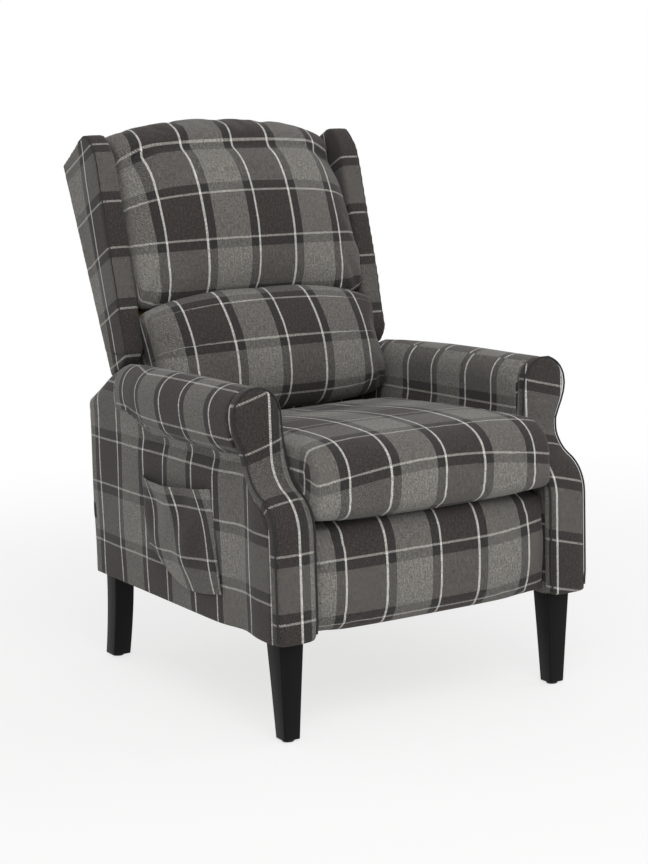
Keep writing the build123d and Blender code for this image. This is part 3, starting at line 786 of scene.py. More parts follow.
@dataclass
class Arm:
    """One arm: padded side with a roll on top, and an S-curved front facing with a welt on its edges."""

    side: Side
    inner: float = 0.242
    outer: float = 0.313
    panel_top: float = 0.475
    rear: float = 0.622
    facing_depth: float = 0.020
    crown: float = 0.0045
    sweep_low: float = 0.352
    sweep_back: float = 0.083
    roll_inner: float = 0.2445
    roll_outer: float = 0.339
    roll_top: float = 0.585
    welt: float = 0.0017
    hem: float = 0.008
    voxel: float = 0.005
    roll_seam: float = 0.502
    # How deep the cover dips behind the facing and under the roll, and how far it swells and ripples.
    dip: float = 0.011
    crease: float = 0.006
    swell: float = 0.002
    ripple: float = 0.0008
    # Where the check starts, across and up: on the side, how far the roll's is moved, and on the inside.
    side_check: tuple[float, float] = (0.052, SIDE_ROW)
    roll_move: tuple[float, float] = (0.124, 0.038)
    inside_check: tuple[float, float] = (-0.103, -0.411)

    def front_line(self, shift: float) -> list[tuple[float, float]]:
        """The S-curve of the arm's front as points of y and z.

        Args:
            shift: how far behind the facing's front it runs.

        Returns:
            Points from the underside up to the panel's top.
        """
        run = self.sweep_back / 2
        rise = (self.panel_top - self.sweep_low) / 2
        radius = (run ** 2 + rise ** 2) / (2 * run)
        whole = math.atan2(rise, radius - run)
        y0 = FACING_FRONT + shift
        foot = FLOOR_GAP - 0.002
        line = [(y0, foot + (self.sweep_low - foot) * part) for part in (0, 0.03, 0.07, 0.2, 0.4, 0.6, 0.8)]
        turns = [whole * i / 9 for i in range(10)]
        first = [(y0 + radius * (1 - math.cos(turn)), self.sweep_low + radius * math.sin(turn))
                 for turn in turns]
        second = [(2 * (y0 + run) - y, 2 * (self.sweep_low + rise) - z) for y, z in reversed(first[:-1])]
        return line + first + second

    def build(self) -> None:
        """Builds and dresses all pieces of the arm."""
        self.cover()
        self.facing()

    def roll_ring(self, y: float, outer: float, top: float, seam: float) -> list[Vector]:
        """One section of the roll.

        Args:
            y: where it lies.
            outer: its outer reach.
            top: its height.
            seam: how far above the panel's top the roll starts to hang over.

        Returns:
            Points around the section.
        """
        base = self.panel_top - 0.001
        flush = self.outer + 0.001
        waist = base + (top - base) * 0.56
        mid, half = (self.roll_inner + outer) / 2, (outer - self.roll_inner) / 2
        ring = [(self.roll_inner, base + (waist - base) * i / 5) for i in range(5)]
        for i in range(21):
            turn = math.pi * (1 - i / 20)
            ring.append((mid + half * math.cos(turn), waist + (top - waist) * math.sin(turn) ** 0.9))
        for i in range(1, 8):
            part = i / 7
            x = outer + (flush - outer) * part ** 1.7
            ring.append((x, waist + (base + seam - waist) * math.sin(part * math.pi / 2)))
        ring += [(flush, base + seam * part) for part in (0.66, 0.33)]
        ring += [(flush - (flush - self.roll_inner) * i / 7, base) for i in range(7)]
        return [spot(self.side.value * x, y, z) for x, z in ring]

    def cover(self) -> None:
        """The padded side and its roll in one cover: the roll hangs over and runs out flush at the rear."""
        way = self.side.value
        front = self.front_line(self.facing_depth)
        foot = FLOOR_GAP - self.hem
        outline = [(front[0][0], foot)] + front[1:] + [(front[-1][0], self.panel_top + self.hem)]
        outline += [(self.rear + 0.003, self.panel_top + self.hem), (self.rear + 0.003, foot)]
        obj = extruded(f"{self.side.word}_arm_cover", outline, way * (self.inner - 0.0005),
                       way * (self.outer + 0.001))
        # Each station: where it lies, then how far its reach, its height and its seam differ.
        stations = ((0.029, 0.0, 0.0, 0.0), (0.10, 0.001, 0.0, 0.0), (0.20, 0.001, 0.001, 0.0),
                    (0.30, 0.0, 0.001, 0.002), (0.36, -0.003, 0.0, 0.008), (0.41, -0.010, -0.001, 0.022),
                    (0.45, -0.018, -0.002, 0.036), (0.50, -0.0235, -0.005, 0.036),
                    (0.545, -0.0245, -0.024, 0.03), (0.585, -0.0245, -0.05, 0.02),
                    (self.rear + 0.002, -0.0245, -0.074, 0.012))
        roll = rolled("roll", [self.roll_ring(y, self.roll_outer + out, self.roll_top + up, seam)
                               for y, out, up, seam in stations])
        only(obj)
        roll.select_set(True)
        bpy.ops.object.join()
        soften(obj, self.voxel, 3)

        def pull(at: np.ndarray, normal: np.ndarray) -> np.ndarray:
            got = at.copy()
            y, z = at[:, 1], at[:, 2]
            out = partway(np.abs(at[:, 0]), 0.29, 0.02) * partway(z, 0.50, -0.04)
            dip = -self.dip * np.exp(-(((y - 0.060) / 0.045) ** 2))
            crease = -self.crease * np.exp(-(((z - 0.462) / 0.02) ** 2)) * partway(y, 0.46, -0.1)
            swell = self.swell * np.sin(np.pi * partway(z, 0.175, 0.30))
            swell *= partway(y, 0.06, 0.12) * partway(y, 0.62, -0.1)
            ripple = self.ripple * np.sin(y * 41 + z * 23) * partway(z, 0.18, 0.05)
            got[:, 0] += way * out * (dip + crease + swell + ripple)
            got[:, 1] = np.minimum(y, self.rear)
            got[:, 2] = np.maximum(z, FLOOR_GAP - 0.001)
            return got

        reshape(obj, pull)
        smooth(obj)
        self.lay_check(obj)
        dress(obj, "frame", TWILL, "plaid_fabric", f"{self.side.word}_arm_pad", f"{self.side.word}_arm_roll")

    def lay_check(self, obj: Piece) -> None:
        """Lays the check up the outer side, over the roll and down the inner side."""
        way = self.side.value
        left = self.side is Side.LEFT
        lines = []
        for out, seam in ((0.0, 0.0), (-0.0235, 0.036)):
            ring = self.roll_ring(0.2, self.roll_outer + out, self.roll_top, seam)
            line = np.array([(abs(p.x), p.z) for p in ring])
            lines.append(np.concatenate([line[5:36][::-1], line[:6][::-1]]))

        def cloth(at: np.ndarray, normal: np.ndarray) -> Check:
            y, z = at[:, 1], at[:, 2]
            section = np.stack([np.abs(at[:, 0]), z], axis=1)
            fade = partway(y, 0.36, 0.1)
            over = along(section, lines[0]) * (1 - fade) + along(section, lines[1]) * fade
            roll = (y < self.roll_seam) & (z > self.panel_top + 0.03 * fade - 0.004)
            v = np.where(z < self.panel_top, z, over + self.panel_top)
            v += self.side_check[1] + self.roll_move[1] * roll
            u = y * 1.02 + self.side_check[0] + self.roll_move[0] * roll
            inside = (normal[:, 0] * way < -0.5) & ((z < self.panel_top) | (not left))
            u = np.where(inside, y + self.inside_check[0], u)
            v = np.where(inside, z + self.inside_check[1], v)
            end = (np.abs(normal[:, 1]) > 0.75) & (z < self.panel_top)
            u = np.where(end, at[:, 0] + 0.30, u)
            v = np.where(normal[:, 2] < -0.75, at[:, 0] + (0.14 if left else 0.02), v)
            return u, v

        lay_cloth(obj, cloth)

    def facing(self) -> None:
        """The strip on the arm's front, from the floor edge to the scroll, with a welt round its edge."""
        way = self.side.value
        # Height, and how far the inner and the outer edge lie from the middle of the chair.
        widths = ((0.173, 0.247, 0.314), (0.178, 0.2425, 0.315), (0.185, 0.240, 0.315), (0.45, 0.240, 0.315),
                  (0.475, 0.242, 0.318), (0.49, 0.245, 0.324), (0.51, 0.247, 0.333), (0.53, 0.248, 0.339),
                  (0.55, 0.250, 0.337), (0.565, 0.256, 0.331), (0.578, 0.268, 0.319), (0.585, 0.283, 0.303))
        heights, low_x, high_x = (np.array(col) for col in zip(*widths))
        path = self.front_line(0.0)
        path += [(path[-1][0], z) for z in (0.49, 0.505, 0.52, 0.535, 0.55, 0.56, 0.568, 0.575, 0.581, 0.585)]
        rings, inner_edge, outer_edge = [], [], []
        for index, (y, z) in enumerate(path):
            y0, z0 = path[max(index - 1, 0)]
            y1, z1 = path[min(index + 1, len(path) - 1)]
            ahead = Vector((y1 - y0, z1 - z0)).normalized()
            front = Vector((-ahead.y, ahead.x))
            a, b = (float(np.interp(z, heights, side)) for side in (low_x, high_x))
            ring = []
            for i in range(13):
                part = i / 12
                lift = self.crown * (1 - (2 * part - 1) ** 4) - 0.001
                ring.append((a + (b - a) * part, lift))
            ring += [(b, -0.008), (b, -0.014)]
            ring += [(b + (a - b) * i / 6, -self.facing_depth + 0.0005) for i in range(7)]
            ring += [(a, -0.014), (a, -0.008)]
            rings.append([spot(way * x, y + front.x * d, z + front.y * d) for x, d in ring])
            if z > FLOOR_GAP + 0.006:
                tuck = 0.003 * min(1.0, max(0.0, (FLOOR_GAP + 0.03 - z) / 0.03))
                for edge, x in ((inner_edge, a + tuck), (outer_edge, b - tuck)):
                    edge.append(spot(way * x, y + front.x * 0.0005, z + front.y * 0.0005))
        obj = rolled(f"{self.side.word}_arm_facing_cover", rings)
        subdivide(obj)
        smooth(obj, 60.0)
        line = np.array(path)
        left = self.side is Side.LEFT
        column, row = (0.350, -0.149) if left else (-0.252, -0.004)

        def cloth(at: np.ndarray, normal: np.ndarray) -> Check:
            tilt = 0.3 * partway(at[:, 2], 0.36, 0.1) if left else 0.25
            v = along(at[:, 1:], line) + row + tilt * (np.abs(at[:, 0]) - 0.29)
            behind = at[:, 1] - np.interp(at[:, 2], line[:, 1], line[:, 0])
            flank = np.where(np.abs(normal[:, 0]) > 0.6, np.sign(normal[:, 0]) * behind, 0.0)
            return at[:, 0] + flank + column, v

        clothe(obj, "frame", cloth, f"{self.side.word}_arm_facing")
        edge = spaced(outer_edge + inner_edge[::-1], 0.008)
        welt = tube(f"{self.side.word}_arm_welt", edge, self.welt)
        dress(welt, "frame", WELT, "tab_ribbon")


# Pocket, tab and rear panel


@dataclass
class SidePocket:
    """The slouchy pouch on the left arm, sewn on three sides and open at the top."""

    wall: float = 0.0022
    seam: float = 0.3172
    belly: float = 0.015
    corners: tuple = ((0.114, 0.224), (0.384, 0.276), (0.399, 0.392), (0.139, 0.404))
    toe: tuple = (0.258, 0.215)
    columns: int = 44
    rows: int = 34

    def build(self) -> None:
        """Builds the pouch as one sheet whose mouth gapes and whose foot sags."""
        obj, places = grid("side_pocket_pouch", self.columns, self.rows)
        part = places / np.array([self.columns, self.rows])
        p, q = part[:, 0], part[:, 1]
        front_low, rear_low, rear_high, front_high = (np.array(c) for c in self.corners)
        low = front_low + (rear_low - front_low) * p[:, None]
        toe = np.array(self.toe)
        straight = front_low + (rear_low - front_low) * 0.53
        low = low + (toe - straight) * (1 - np.abs(2 * p - 1.06) ** 1.6)[:, None].clip(0, 1)
        high = front_high + (rear_high - front_high) * p[:, None]
        high[:, 1] -= 0.007 * np.sin(np.pi * p) ** 0.8
        flat = low + (high - low) * q[:, None]
        hold = np.sin(np.pi * p) ** 0.55
        rise = np.where(q < 0.35, np.sin(q / 0.35 * np.pi / 2) ** 0.8, 1.0)
        sag = 0.55 + 0.45 * np.exp(-((q - 0.38) / 0.3) ** 2)
        folds = 0.0035 * np.sin(9.0 * p - 5.0 * q + 0.6) + 0.002 * np.sin(17 * p + 6 * q)
        out = hold * rise * (self.belly * sag + folds)
        out += 0.009 * hold * partway(q, 0.7, 0.3) ** 1.5
        x = -(self.seam + np.maximum(out, 0.0))
        put_points(obj, np.column_stack([x, flat[:, 0], flat[:, 1]]))
        in_edit(obj, lambda: bpy.ops.mesh.normals_make_consistent(inside=False))
        subdivide(obj)
        if sum(face.normal.x for face in obj.data.polygons) > 0:
            in_edit(obj, lambda: bpy.ops.mesh.flip_normals())
        finish_with(obj, "SOLIDIFY", thickness=self.wall, offset=-1.0)
        smooth(obj, 50.0)
        clothe(obj, "frame", self.cloth, "side_pocket")

    def cloth(self, at: np.ndarray, normal: np.ndarray) -> Check:
        y, z = at[:, 1], at[:, 2]
        u = y - 0.19 * (z - 0.36) - 0.164 + 0.006 * np.sin((z - 0.2) * 22)
        v = z + 0.05 * (y - 0.25) - 0.276 + 0.10 * np.abs(at[:, 0] + 0.315)
        return u, v


@dataclass
class SeamTab:
    """A small folded ribbon in the arm's rear seam, left plain."""

    ease: float = 0.0006

    def build(self) -> None:
        """Folds a strip of ribbon into a flat loop."""
        obj, places = grid("seam_tab_loop", 10, 8)
        p, q = places[:, 0] / 10, places[:, 1] / 8
        bow = np.sin(np.pi * p) ** 0.7
        low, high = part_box("seam_tab")
        x = high[0] - self.ease - (high[0] - low[0]) * bow - 0.0004 * np.sin(q * 3)
        y = low[1] + (high[1] - low[1]) * p
        z = low[2] + (high[2] - low[2]) * q - 0.0012 * bow
        put_points(obj, np.column_stack([x, y, z]), raw=True)
        finish_with(obj, "SOLIDIFY", thickness=0.0008, offset=0.0)
        subdivide(obj)
        smooth(obj)
        dress(obj, "frame", CAD_FINISHES["tab_ribbon"], "tab_ribbon", "seam_tab")


@dataclass
class RearPanel:
    """The upholstered panel between the arms, behind the seat."""

    def build(self) -> None:
        """Pads out the flat panel."""
        obj = copied("rear_panel_cover", "rear_panel")
        soften(obj, 0.006, 4)
        smooth(obj)
        clothe(obj, "frame", lambda at, normal: (at[:, 0] + SEAT_COLUMN, at[:, 2] + SIDE_ROW), "rear_panel")


# Seat and footrest


@dataclass
class Seat:
    """The crowned seat cushion with its rolled nose."""

    half: float = 0.2395
    voxel: float = 0.006
    sole: float = 0.3395
    # The front seam's height and depth.
    seam: tuple[float, float] = (0.392, 0.0016)
    # How far the middle sinks at the front, and how much further at the rear.
    sink: tuple[float, float] = (0.013, 0.011)
    row: float = -0.112

    def build(self) -> None:
        """Copies the cushion, stuffs it by Cloth and sews its front seam."""
        obj = copied("seat_cushion_cover", "seat_cushion")
        soften(obj, self.voxel, 5)
        stuff(obj, lambda at, normal: ((at[:, 2] < 0.348) | (at[:, 1] > 0.43)).astype(float), 0.005)

        def trim(at: np.ndarray, normal: np.ndarray) -> np.ndarray:
            got = at.copy()
            got[:, 0] = np.clip(at[:, 0], -self.half, self.half)
            front = partway(at[:, 1], -0.045, -0.02)
            height, depth = self.seam
            got[:, 1] += depth * np.exp(-((at[:, 2] - height) / 0.0035) ** 2) * front
            middle = 1 - (at[:, 0] / self.half) ** 2
            lower = self.sink[0] + self.sink[1] * partway(at[:, 1], 0.08, 0.24)
            got[:, 2] -= lower * middle * partway(at[:, 2], 0.46, 0.045)
            got[:, 2] = np.maximum(got[:, 2], self.sole)
            return got

        reshape(obj, trim)
        subdivide(obj)
        smooth(obj)
        line = np.array([(-0.050, 0.363), (-0.075, 0.372), (-0.091, 0.400), (-0.094, 0.440), (-0.088, 0.475),
                         (-0.066, 0.495), (-0.030, 0.500), (0.060, 0.504), (0.25, 0.504), (0.45, 0.484)])

        def cloth(at: np.ndarray, normal: np.ndarray) -> Check:
            front = partway(at[:, 1], 0.02, -0.1)
            v = along(at[:, 1:], line) + self.row + 0.026 * front * (at[:, 0] / self.half) ** 2
            end = partway(np.abs(at[:, 0]), self.half - 0.03, 0.02) * beside(at[:, 1:], line)
            return at[:, 0] + np.sign(at[:, 0]) * end + SEAT_COLUMN, v

        clothe(obj, "seat", cloth, "seat_cushion")


@dataclass
class Footrest:
    """The padded panel under the seat's nose."""

    half: float = 0.2392
    square: float = 0.205
    top: float = 0.3615
    voxel: float = 0.006
    row: float = -0.161

    def build(self) -> None:
        """Copies the pad and stuffs it a little."""
        obj = copied("footrest_cover", "footrest_pad")
        soften(obj, self.voxel, 4)
        stuff(obj, lambda at, normal: (at[:, 1] > -0.022).astype(float), 0.006, 3.0)

        def trim(at: np.ndarray, normal: np.ndarray) -> np.ndarray:
            got = at.copy()
            reach = np.abs(at[:, 0])
            part = partway(reach, self.square, reach.max() - self.square)
            end = self.square + (self.half - self.square) * part ** 0.5
            got[:, 0] = np.where(reach > self.square, np.sign(at[:, 0]) * end, at[:, 0])
            got[:, 2] = np.minimum(at[:, 2], self.top)
            return got

        reshape(obj, trim)
        subdivide(obj)
        smooth(obj)
        line = np.array([(-0.016, 0.172), (-0.045, 0.173), (-0.058, 0.188), (-0.066, 0.25), (-0.066, 0.29),
                         (-0.058, 0.345), (-0.045, 0.360), (-0.016, 0.361)])

        def cloth(at: np.ndarray, normal: np.ndarray) -> Check:
            v = along(at[:, 1:], line) + self.row - 0.014 * partway(at[:, 0], 0.10, 0.14) ** 1.5
            return at[:, 0] + SEAT_COLUMN, v

        clothe(obj, "footrest", cloth, "footrest_pad")


# Back


@dataclass
class Pillow:
    """A stuffed pillow of the back."""

    name: str
    source: str
    half: float
    line: tuple
    warp: float
    weft: float
    ends: tuple[float, float]
    spread: float = 0.0
    brow: float = 0.0
    sag: tuple[float, float] = (0.0, 0.0)
    most: float = 0.016
    voxel: float = 0.006
    held_depth: float = 0.056
    gather: float = 0.0022

    def build(self) -> None:
        """Copies the pillow, stuffs it by Cloth and lays the check over its face and top."""
        obj = copied(self.name, self.source)
        soften(obj, self.voxel, 5)
        stuff(obj, lambda at, normal: (lean_out(at)[1] < self.held_depth).astype(float), self.most)

        def trim(at: np.ndarray, normal: np.ndarray) -> np.ndarray:
            got = at.copy()
            got[:, 0] = np.clip(at[:, 0], -self.half, self.half)
            up = lean_out(at)[0]
            got[:, 0] *= 1 + self.spread * partway(up, -0.03, 0.05)
            move = np.zeros(len(at))
            ends = partway(np.abs(at[:, 0]), 0.06, 0.17) ** 1.4
            for edge, place, sag in zip((up.min(), up.max()), self.ends, self.sag):
                move += (place - edge - sag * ends) * eased(partway(np.abs(up - edge), 0.07, -0.07))
            corner = partway(at[:, 0], -0.15, -0.09)
            corner -= 0.35 * partway(np.abs(at[:, 0] - 0.06), 0.16, -0.16)
            move += self.brow * corner * partway(up, 0.30, 0.06)
            push = self.brow * eased(partway(up, 0.19, 0.13)) * (1 - eased(partway(up, 0.31, 0.09)))
            got[:, 1] += move * math.sin(LEAN) - push * math.cos(LEAN)
            got[:, 2] += move * math.cos(LEAN) + push * math.sin(LEAN)
            return got

        reshape(obj, trim)
        self.shape(obj)
        subdivide(obj)
        smooth(obj)
        line = np.array(self.line)

        def cloth(at: np.ndarray, normal: np.ndarray) -> Check:
            up, ahead = lean_out(at)
            v = along(np.stack([up, ahead], axis=1), line) - self.weft
            v -= 0.35 * self.brow * partway(up, 0.2, 0.14) ** 2
            flank = partway(np.abs(at[:, 0]), self.half - 0.03, 0.03) * np.clip(0.13 - ahead, 0, 1)
            return at[:, 0] + np.sign(at[:, 0]) * flank - self.warp, v

        clothe(obj, "back", cloth, self.source)

    def shape(self, obj: Piece) -> None:
        """Draws gathers towards the lower corners."""

        def pucker(at: np.ndarray, normal: np.ndarray) -> np.ndarray:
            up, ahead = lean_out(at)
            low = up.min() + 0.02
            near = np.exp(-((up - low) / 0.05) ** 2) * partway(np.abs(at[:, 0]), self.half * 0.62, 0.06)
            wave = np.sin(np.abs(at[:, 0]) * 190 + (up - low) * 120)
            return at + normal * (self.gather * near * wave * partway(ahead, 0.07, 0.03))[:, None]

        reshape(obj, pucker)


@dataclass
class Wing:
    """One wing: a padded side of the back with a welted edge and a soft foot."""

    side: Side
    outer: float = 0.286
    thick: float = 0.039
    sole: float = 0.029
    high: float = 0.392
    welt: float = 0.0013
    padding: float = 0.003
    voxel: float = 0.005
    column: float = 0.052

    def outline(self) -> list[tuple[float, float]]:
        """The wing's edge as (up, ahead), from the rear of its sole forward and up to the top's rear."""
        rear, front_low, front_high = -0.005, 0.085, 0.140
        brow = self.high - 0.062
        line = []
        for i in range(17):
            part = i / 16
            line.append((-self.sole * math.sin(math.pi * part ** 2.2),
                         rear + (front_low - rear) * (1 - math.cos(math.pi * part)) / 2))
        line += [(brow * i / 10, front_low + (front_high - front_low) * i / 10) for i in range(1, 11)]
        for i in range(1, 7):
            turn = math.pi / 2 * i / 6
            line.append((brow + 0.062 * math.sin(turn), front_high - 0.030 * (1 - math.cos(turn))))
        line += [(self.high, 0.080), (self.high - 0.010, rear)]
        return line

    def build(self) -> None:
        """Builds the padded wing, its welt and its foot."""
        way = self.side.value
        inner = self.outer - self.thick
        obj = back_slab(f"{self.side.word}_wing_cover", self.outline(), way * inner, way * self.outer)
        soften(obj, self.voxel, 3)

        def pad(at: np.ndarray, normal: np.ndarray) -> np.ndarray:
            up, ahead = lean_out(at)
            face = partway(up, 0.02, 0.06) * partway(up, 0.37, -0.06)
            soft = partway(ahead, 0.03, 0.03) * face
            return at + normal * (self.padding * soft)[:, None]

        reshape(obj, pad)
        smooth(obj)
        row = -0.1645 if self.side is Side.LEFT else -0.1185

        def cloth(at: np.ndarray, normal: np.ndarray) -> Check:
            up, ahead = lean_out(at)
            side_face = np.abs(normal[:, 0]) > 0.6
            edge = 0.090 + up * 0.152
            u = np.where(side_face, ahead - edge, np.abs(at[:, 0]) - self.outer) + self.column
            return u, up + row

        clothe(obj, "back", cloth, f"{self.side.word}_wing")
        edge = spaced([back_spot(way * self.outer, up, ahead) for up, ahead in self.outline()[6:-1]], 0.006)
        path = [obj.closest_point_on_mesh(point)[1] for point in edge]
        welt = tube(f"{self.side.word}_wing_welt", path, self.welt)
        dress(welt, "back", WELT, "tab_ribbon")
        self.skirt(cloth)

    def skirt(self, cloth: Lay) -> None:
        """The soft foot of the wing, which stands over the arm.

        Args:
            cloth: how the check lies on the wing.
        """
        way = self.side.value
        cut = ((0.004, -0.005), (-0.044, -0.005), (-0.047, 0.002), (-0.047, 0.040), (-0.044, 0.055),
               (-0.038, 0.068), (-0.028, 0.080), (-0.012, 0.0855), (0.004, 0.0865))
        obj = back_slab(f"{self.side.word}_wing_skirt", cut, way * 0.252, way * (self.outer - 0.0005))
        soften(obj, 0.004, 2)
        smooth(obj)
        clothe(obj, "back", cloth)
        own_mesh(obj)


@dataclass
class BackCover:
    """The outside back and the strips of cloth that close the back's frame."""

    half: float = 0.272
    crown_height: float = 0.006

    def build(self) -> None:
        """Pads out the outside back, then lays the top strip and the strips at the sides."""
        obj = copied("outside_back_cover", "back_shell")
        soften(obj, 0.005, 2)

        def crown(at: np.ndarray, normal: np.ndarray) -> np.ndarray:
            up, ahead = lean_out(at)
            mid = (1 - (at[:, 0] / 0.29) ** 2) * partway(up, -0.15, 0.1) * partway(up, 0.38, -0.1)
            behind = partway(ahead, 0.009, -0.006)
            got = at.copy()
            got[:, 0] = np.clip(at[:, 0], -self.half, self.half)
            out = self.crown_height * mid * behind
            got[:, 1] += out * math.cos(LEAN)
            got[:, 2] -= out * math.sin(LEAN)
            return got

        reshape(obj, crown)
        smooth(obj)

        def cloth(at: np.ndarray, normal: np.ndarray) -> Check:
            return at[:, 0] + BACK_COLUMN, lean_out(at)[0] + BACK_ROW

        clothe(obj, "back", cloth, "back_shell")
        self.top()
        for side in Side:
            self.border(side, "low", -0.13, -0.024, 0.2385)
            self.border(side, "high", -0.024, 0.14, 0.2465)

    def border(self, side: Side, place: str, low: float, high: float, out: float) -> None:
        """A strip of cloth that closes the back's side, from the outside back to the pillows.

        Args:
            side: the side of the chair.
            place: the strip's own word in its name.
            low: where it starts, up the back.
            high: where it ends, up the back.
            out: how far it reaches from the middle.
        """
        rear, front = 0.0145, 0.0512
        cut = ((low, rear), (low, front), (high, front), (high, rear))
        obj = back_slab(f"{side.word}_back_border_{place}", cut, side.value * 0.2325, side.value * out)
        soften(obj, 0.003, 2)
        smooth(obj)

        def cloth(at: np.ndarray, normal: np.ndarray) -> Check:
            up, ahead = lean_out(at)
            return ahead + np.abs(at[:, 0]), up + BACK_ROW

        clothe(obj, "back", cloth)

    def top(self) -> None:
        """A padded strip over the top rail, from the outside back to the head pillow."""
        rings = []
        half = 0.2462
        for i in range(25):
            x = -half + 2 * half * i / 24
            lift = 0.010 * (1 - (x / half) ** 2)
            ring = [(0.3725, 0.002), (0.384 + lift * 0.5, 0.002), (0.391 + lift, 0.012),
                    (0.394 + lift, 0.030), (0.392 + lift, 0.050), (0.386 + lift * 0.5, 0.062),
                    (0.3725, 0.066), (0.3722, 0.034)]
            rings.append([back_spot(x, up, ahead) for up, ahead in ring])
        obj = rolled("back_top_strip", rings)
        subdivide(obj, 2)
        smooth(obj)

        def cloth(at: np.ndarray, normal: np.ndarray) -> Check:
            up, ahead = lean_out(at)
            return at[:, 0] + BACK_COLUMN, up + ahead + BACK_ROW

        clothe(obj, "back", cloth)


# Legs


@dataclass
class Legs:
    """Tapered square front legs and rear legs that curve back."""

    x: float = 0.2755
    front_y: float = -0.026
    rear_y: float = 0.599
    rake: float = 0.026
    foot: float = 0.004
    corner: float = 0.0025

    def ring(self, x: float, y: float, z: float, size: float) -> list[Vector]:
        """A square section with small rounded corners.

        Args:
            x: its centre across.
            y: its centre along.
            z: its height.
            size: its side.

        Returns:
            Points around it.
        """
        half, ease = size / 2, self.corner
        ring = []
        for sx, sy, start in ((1, 1, 0.0), (-1, 1, 0.5), (-1, -1, 1.0), (1, -1, 1.5)):
            for i in range(4):
                turn = math.pi * (start + i / 6)
                ring.append(spot(x + sx * (half - ease) + ease * math.cos(turn),
                                 y + sy * (half - ease) + ease * math.sin(turn), z))
        return ring

    def build(self) -> None:
        """Builds the four legs."""
        front = ((self.foot, 0.030), (0.09, 0.0378), (FLOOR_GAP, 0.046))
        for side in Side:
            x = side.value * self.x
            self.leg(f"{side.word}_front_leg_turned", f"{side.word}_front_leg",
                     [self.ring(x, self.front_y, z, size) for z, size in front])
            rear = []
            for i in range(13):
                part = i / 12
                y = self.rear_y + self.rake * (1 - part) ** 1.7
                z = self.foot + (FLOOR_GAP - self.foot) * part
                rear.append(self.ring(x, y, z, 0.036 + 0.004 * part))
            self.leg(f"{side.word}_rear_leg_turned", f"{side.word}_rear_leg", rear)

    def leg(self, name: str, cad: str, rings: list[list[Vector]]) -> None:
        """Rolls one leg and lacquers it.

        Args:
            name: the piece's name.
            cad: the CAD node that it stands for.
            rings: its sections from the foot up.
        """
        obj = rolled(name, rings)
        finish_with(obj, "BEVEL", width=0.0015, segments=2, limit_method="ANGLE",
                    angle_limit=math.radians(50.0))
        smooth(obj, 35.0)
        dress(obj, "frame", BLACK_LEG, "black_wood", cad)


# Studio


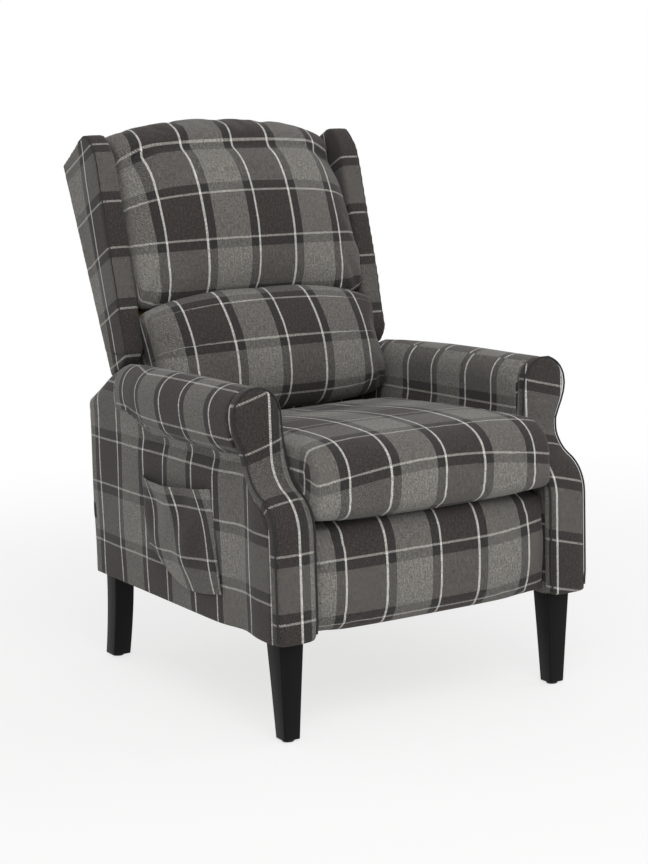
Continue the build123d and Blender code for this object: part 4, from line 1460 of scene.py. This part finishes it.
@dataclass
class Studio:
    """Pale floor, soft lamps and the camera of the photograph's view."""

    azimuth: float = math.radians(-31.24)
    elevation: float = math.radians(9.02)
    roll: float = math.radians(-1.70)
    distance: float = 3.439
    lens: float = 78.37
    target: tuple[float, float, float] = (0.0, 0.285, 0.449)

    def build(self) -> None:
        """Sets up everything that isn't the chair."""
        self.floor()
        self.world()
        self.lamps()
        self.camera()
        bpy.context.scene.view_settings.view_transform = "Standard"

    def floor(self) -> None:
        """A wide white floor that keeps a soft shadow."""
        bpy.ops.object.select_all(action="DESELECT")
        bpy.ops.mesh.primitive_plane_add(size=40.0, location=(0.0, 0.0, 0.0))
        floor = bpy.context.object
        floor.name = "studio_floor"
        made = bpy.data.materials.new("studio_paper")
        made.use_nodes = True
        tree = made.node_tree
        tree.nodes.clear()
        paper = node(tree, "BsdfDiffuse", {0: linear("#f4f4f3")}).outputs[0]
        glow = node(tree, "Emission", {0: (1.0, 1.0, 1.0, 1.0), 1: 1.0}).outputs[0]
        far = node(tree, "VectorMath", {0: object_place(tree)}, operation="LENGTH").outputs["Value"]
        fade = node(tree, "MapRange", {0: far, 1: 0.7, 2: 2.6, 3: 0.72, 4: 1.0},
                    interpolation_type="SMOOTHSTEP")
        share = maths(tree, "MULTIPLY", self.seen(tree), fade.outputs[0])
        mixed = node(tree, "MixShader", {0: share, 1: paper, 2: glow})
        node(tree, "OutputMaterial", {"Surface": mixed.outputs[0]})
        floor.data.materials.append(made)

    def seen(self, tree: Tree) -> Any:
        """1 for rays from the camera, straight or by way of gloss or glass, and 0 for those that light."""
        rays = node(tree, "LightPath").outputs
        clear = maths(tree, "MAXIMUM", rays["Is Camera Ray"], rays["Is Glossy Ray"])
        return maths(tree, "MAXIMUM", clear, rays["Is Transmission Ray"])

    def world(self) -> None:
        """White where it is seen, a soft grey-white where it lights."""
        world = bpy.data.worlds.new("studio_room")
        bpy.context.scene.world = world
        world.use_nodes = True
        tree = world.node_tree
        tree.nodes.clear()
        strength = spread(tree, self.seen(tree), 0.55, 1.0)
        sky = node(tree, "Background", {0: (1.0, 1.0, 1.0, 1.0), 1: strength})
        node(tree, "OutputWorld", {"Surface": sky.outputs[0]})

    def lamps(self) -> None:
        """Two large soft boxes, the main one ahead and above."""
        for name, place, size, power in (("key_box", (-1.2, -3.0, 3.2), 2.6, 86.0),
                                         ("fill_box", (2.8, -1.6, 2.2), 2.4, 12.0)):
            light = bpy.data.lights.new(name, "AREA")
            light.shape = "SQUARE"
            light.size = size
            light.energy = power
            lamp = bpy.data.objects.new(name, light)
            bpy.context.scene.collection.objects.link(lamp)
            lamp.location = place
            aim = Vector((0.0, 0.0, 0.45)) - lamp.location
            lamp.rotation_euler = aim.to_track_quat("-Z", "Y").to_euler()

    def camera(self) -> None:
        """The view of the photograph, with its slight tilt."""
        a, e, r = self.azimuth, self.elevation, self.roll
        back = Vector((math.sin(a) * math.cos(e), -math.cos(a) * math.cos(e), math.sin(e)))
        right = (-back).cross(Vector((0.0, 0.0, 1.0))).normalized()
        up = right.cross(-back)
        across = right * math.cos(r) + up * math.sin(r)
        over = up * math.cos(r) - right * math.sin(r)
        lens = bpy.data.cameras.new("photo_camera")
        lens.lens = self.lens
        lens.sensor_width = 36.0
        camera = bpy.data.objects.new("photo_camera", lens)
        bpy.context.scene.collection.objects.link(camera)
        turn = Matrix((across, over, back)).transposed()
        camera.location = spot(*self.target) + back * self.distance
        camera.rotation_euler = turn.to_euler()
        bpy.context.scene.camera = camera


def dress_frame() -> None:
    """Gives every CAD node that stays its own finish."""
    for row in frame["record"]["subparts"]:
        obj = frame["nodes"][row["node"]]
        obj.data.materials.clear()
        obj.data.materials.append(CAD_FINISHES[row["material_slot"]].material())


def main() -> None:
    """Builds the chair's pieces in order, then the studio."""
    logging.basicConfig(level=logging.INFO, format="%(name)s: %(message)s")
    dress_frame()
    for side in Side:
        Arm(side).build()
        Wing(side).build()
    SidePocket().build()
    SeamTab().build()
    RearPanel().build()
    Seat().build()
    Footrest().build()
    Pillow("lumbar_cushion", "lumbar_pillow", 0.2395,
           ((-0.158, 0.049), (-0.150, 0.128), (-0.128, 0.150), (-0.05, 0.166), (0.03, 0.154), (0.058, 0.128),
            (0.068, 0.049)), -0.182, 0.1885,
           (-0.166, 0.072), spread=0.025, sag=(0.0, 0.016)).build()
    Pillow("head_cushion", "head_pillow", 0.2465,
           ((0.072, 0.049), (0.070, 0.110), (0.096, 0.145), (0.18, 0.168), (0.28, 0.165), (0.346, 0.135),
            (0.395, 0.110), (0.426, 0.082), (0.40, 0.058), (0.372, 0.049)), -0.189, 0.1625,
           (0.058, 0.428), brow=0.011, sag=(0.022, 0.0)).build()
    BackCover().build()
    Legs().build()
    Studio().build()


if __name__ == "__main__":
    main()
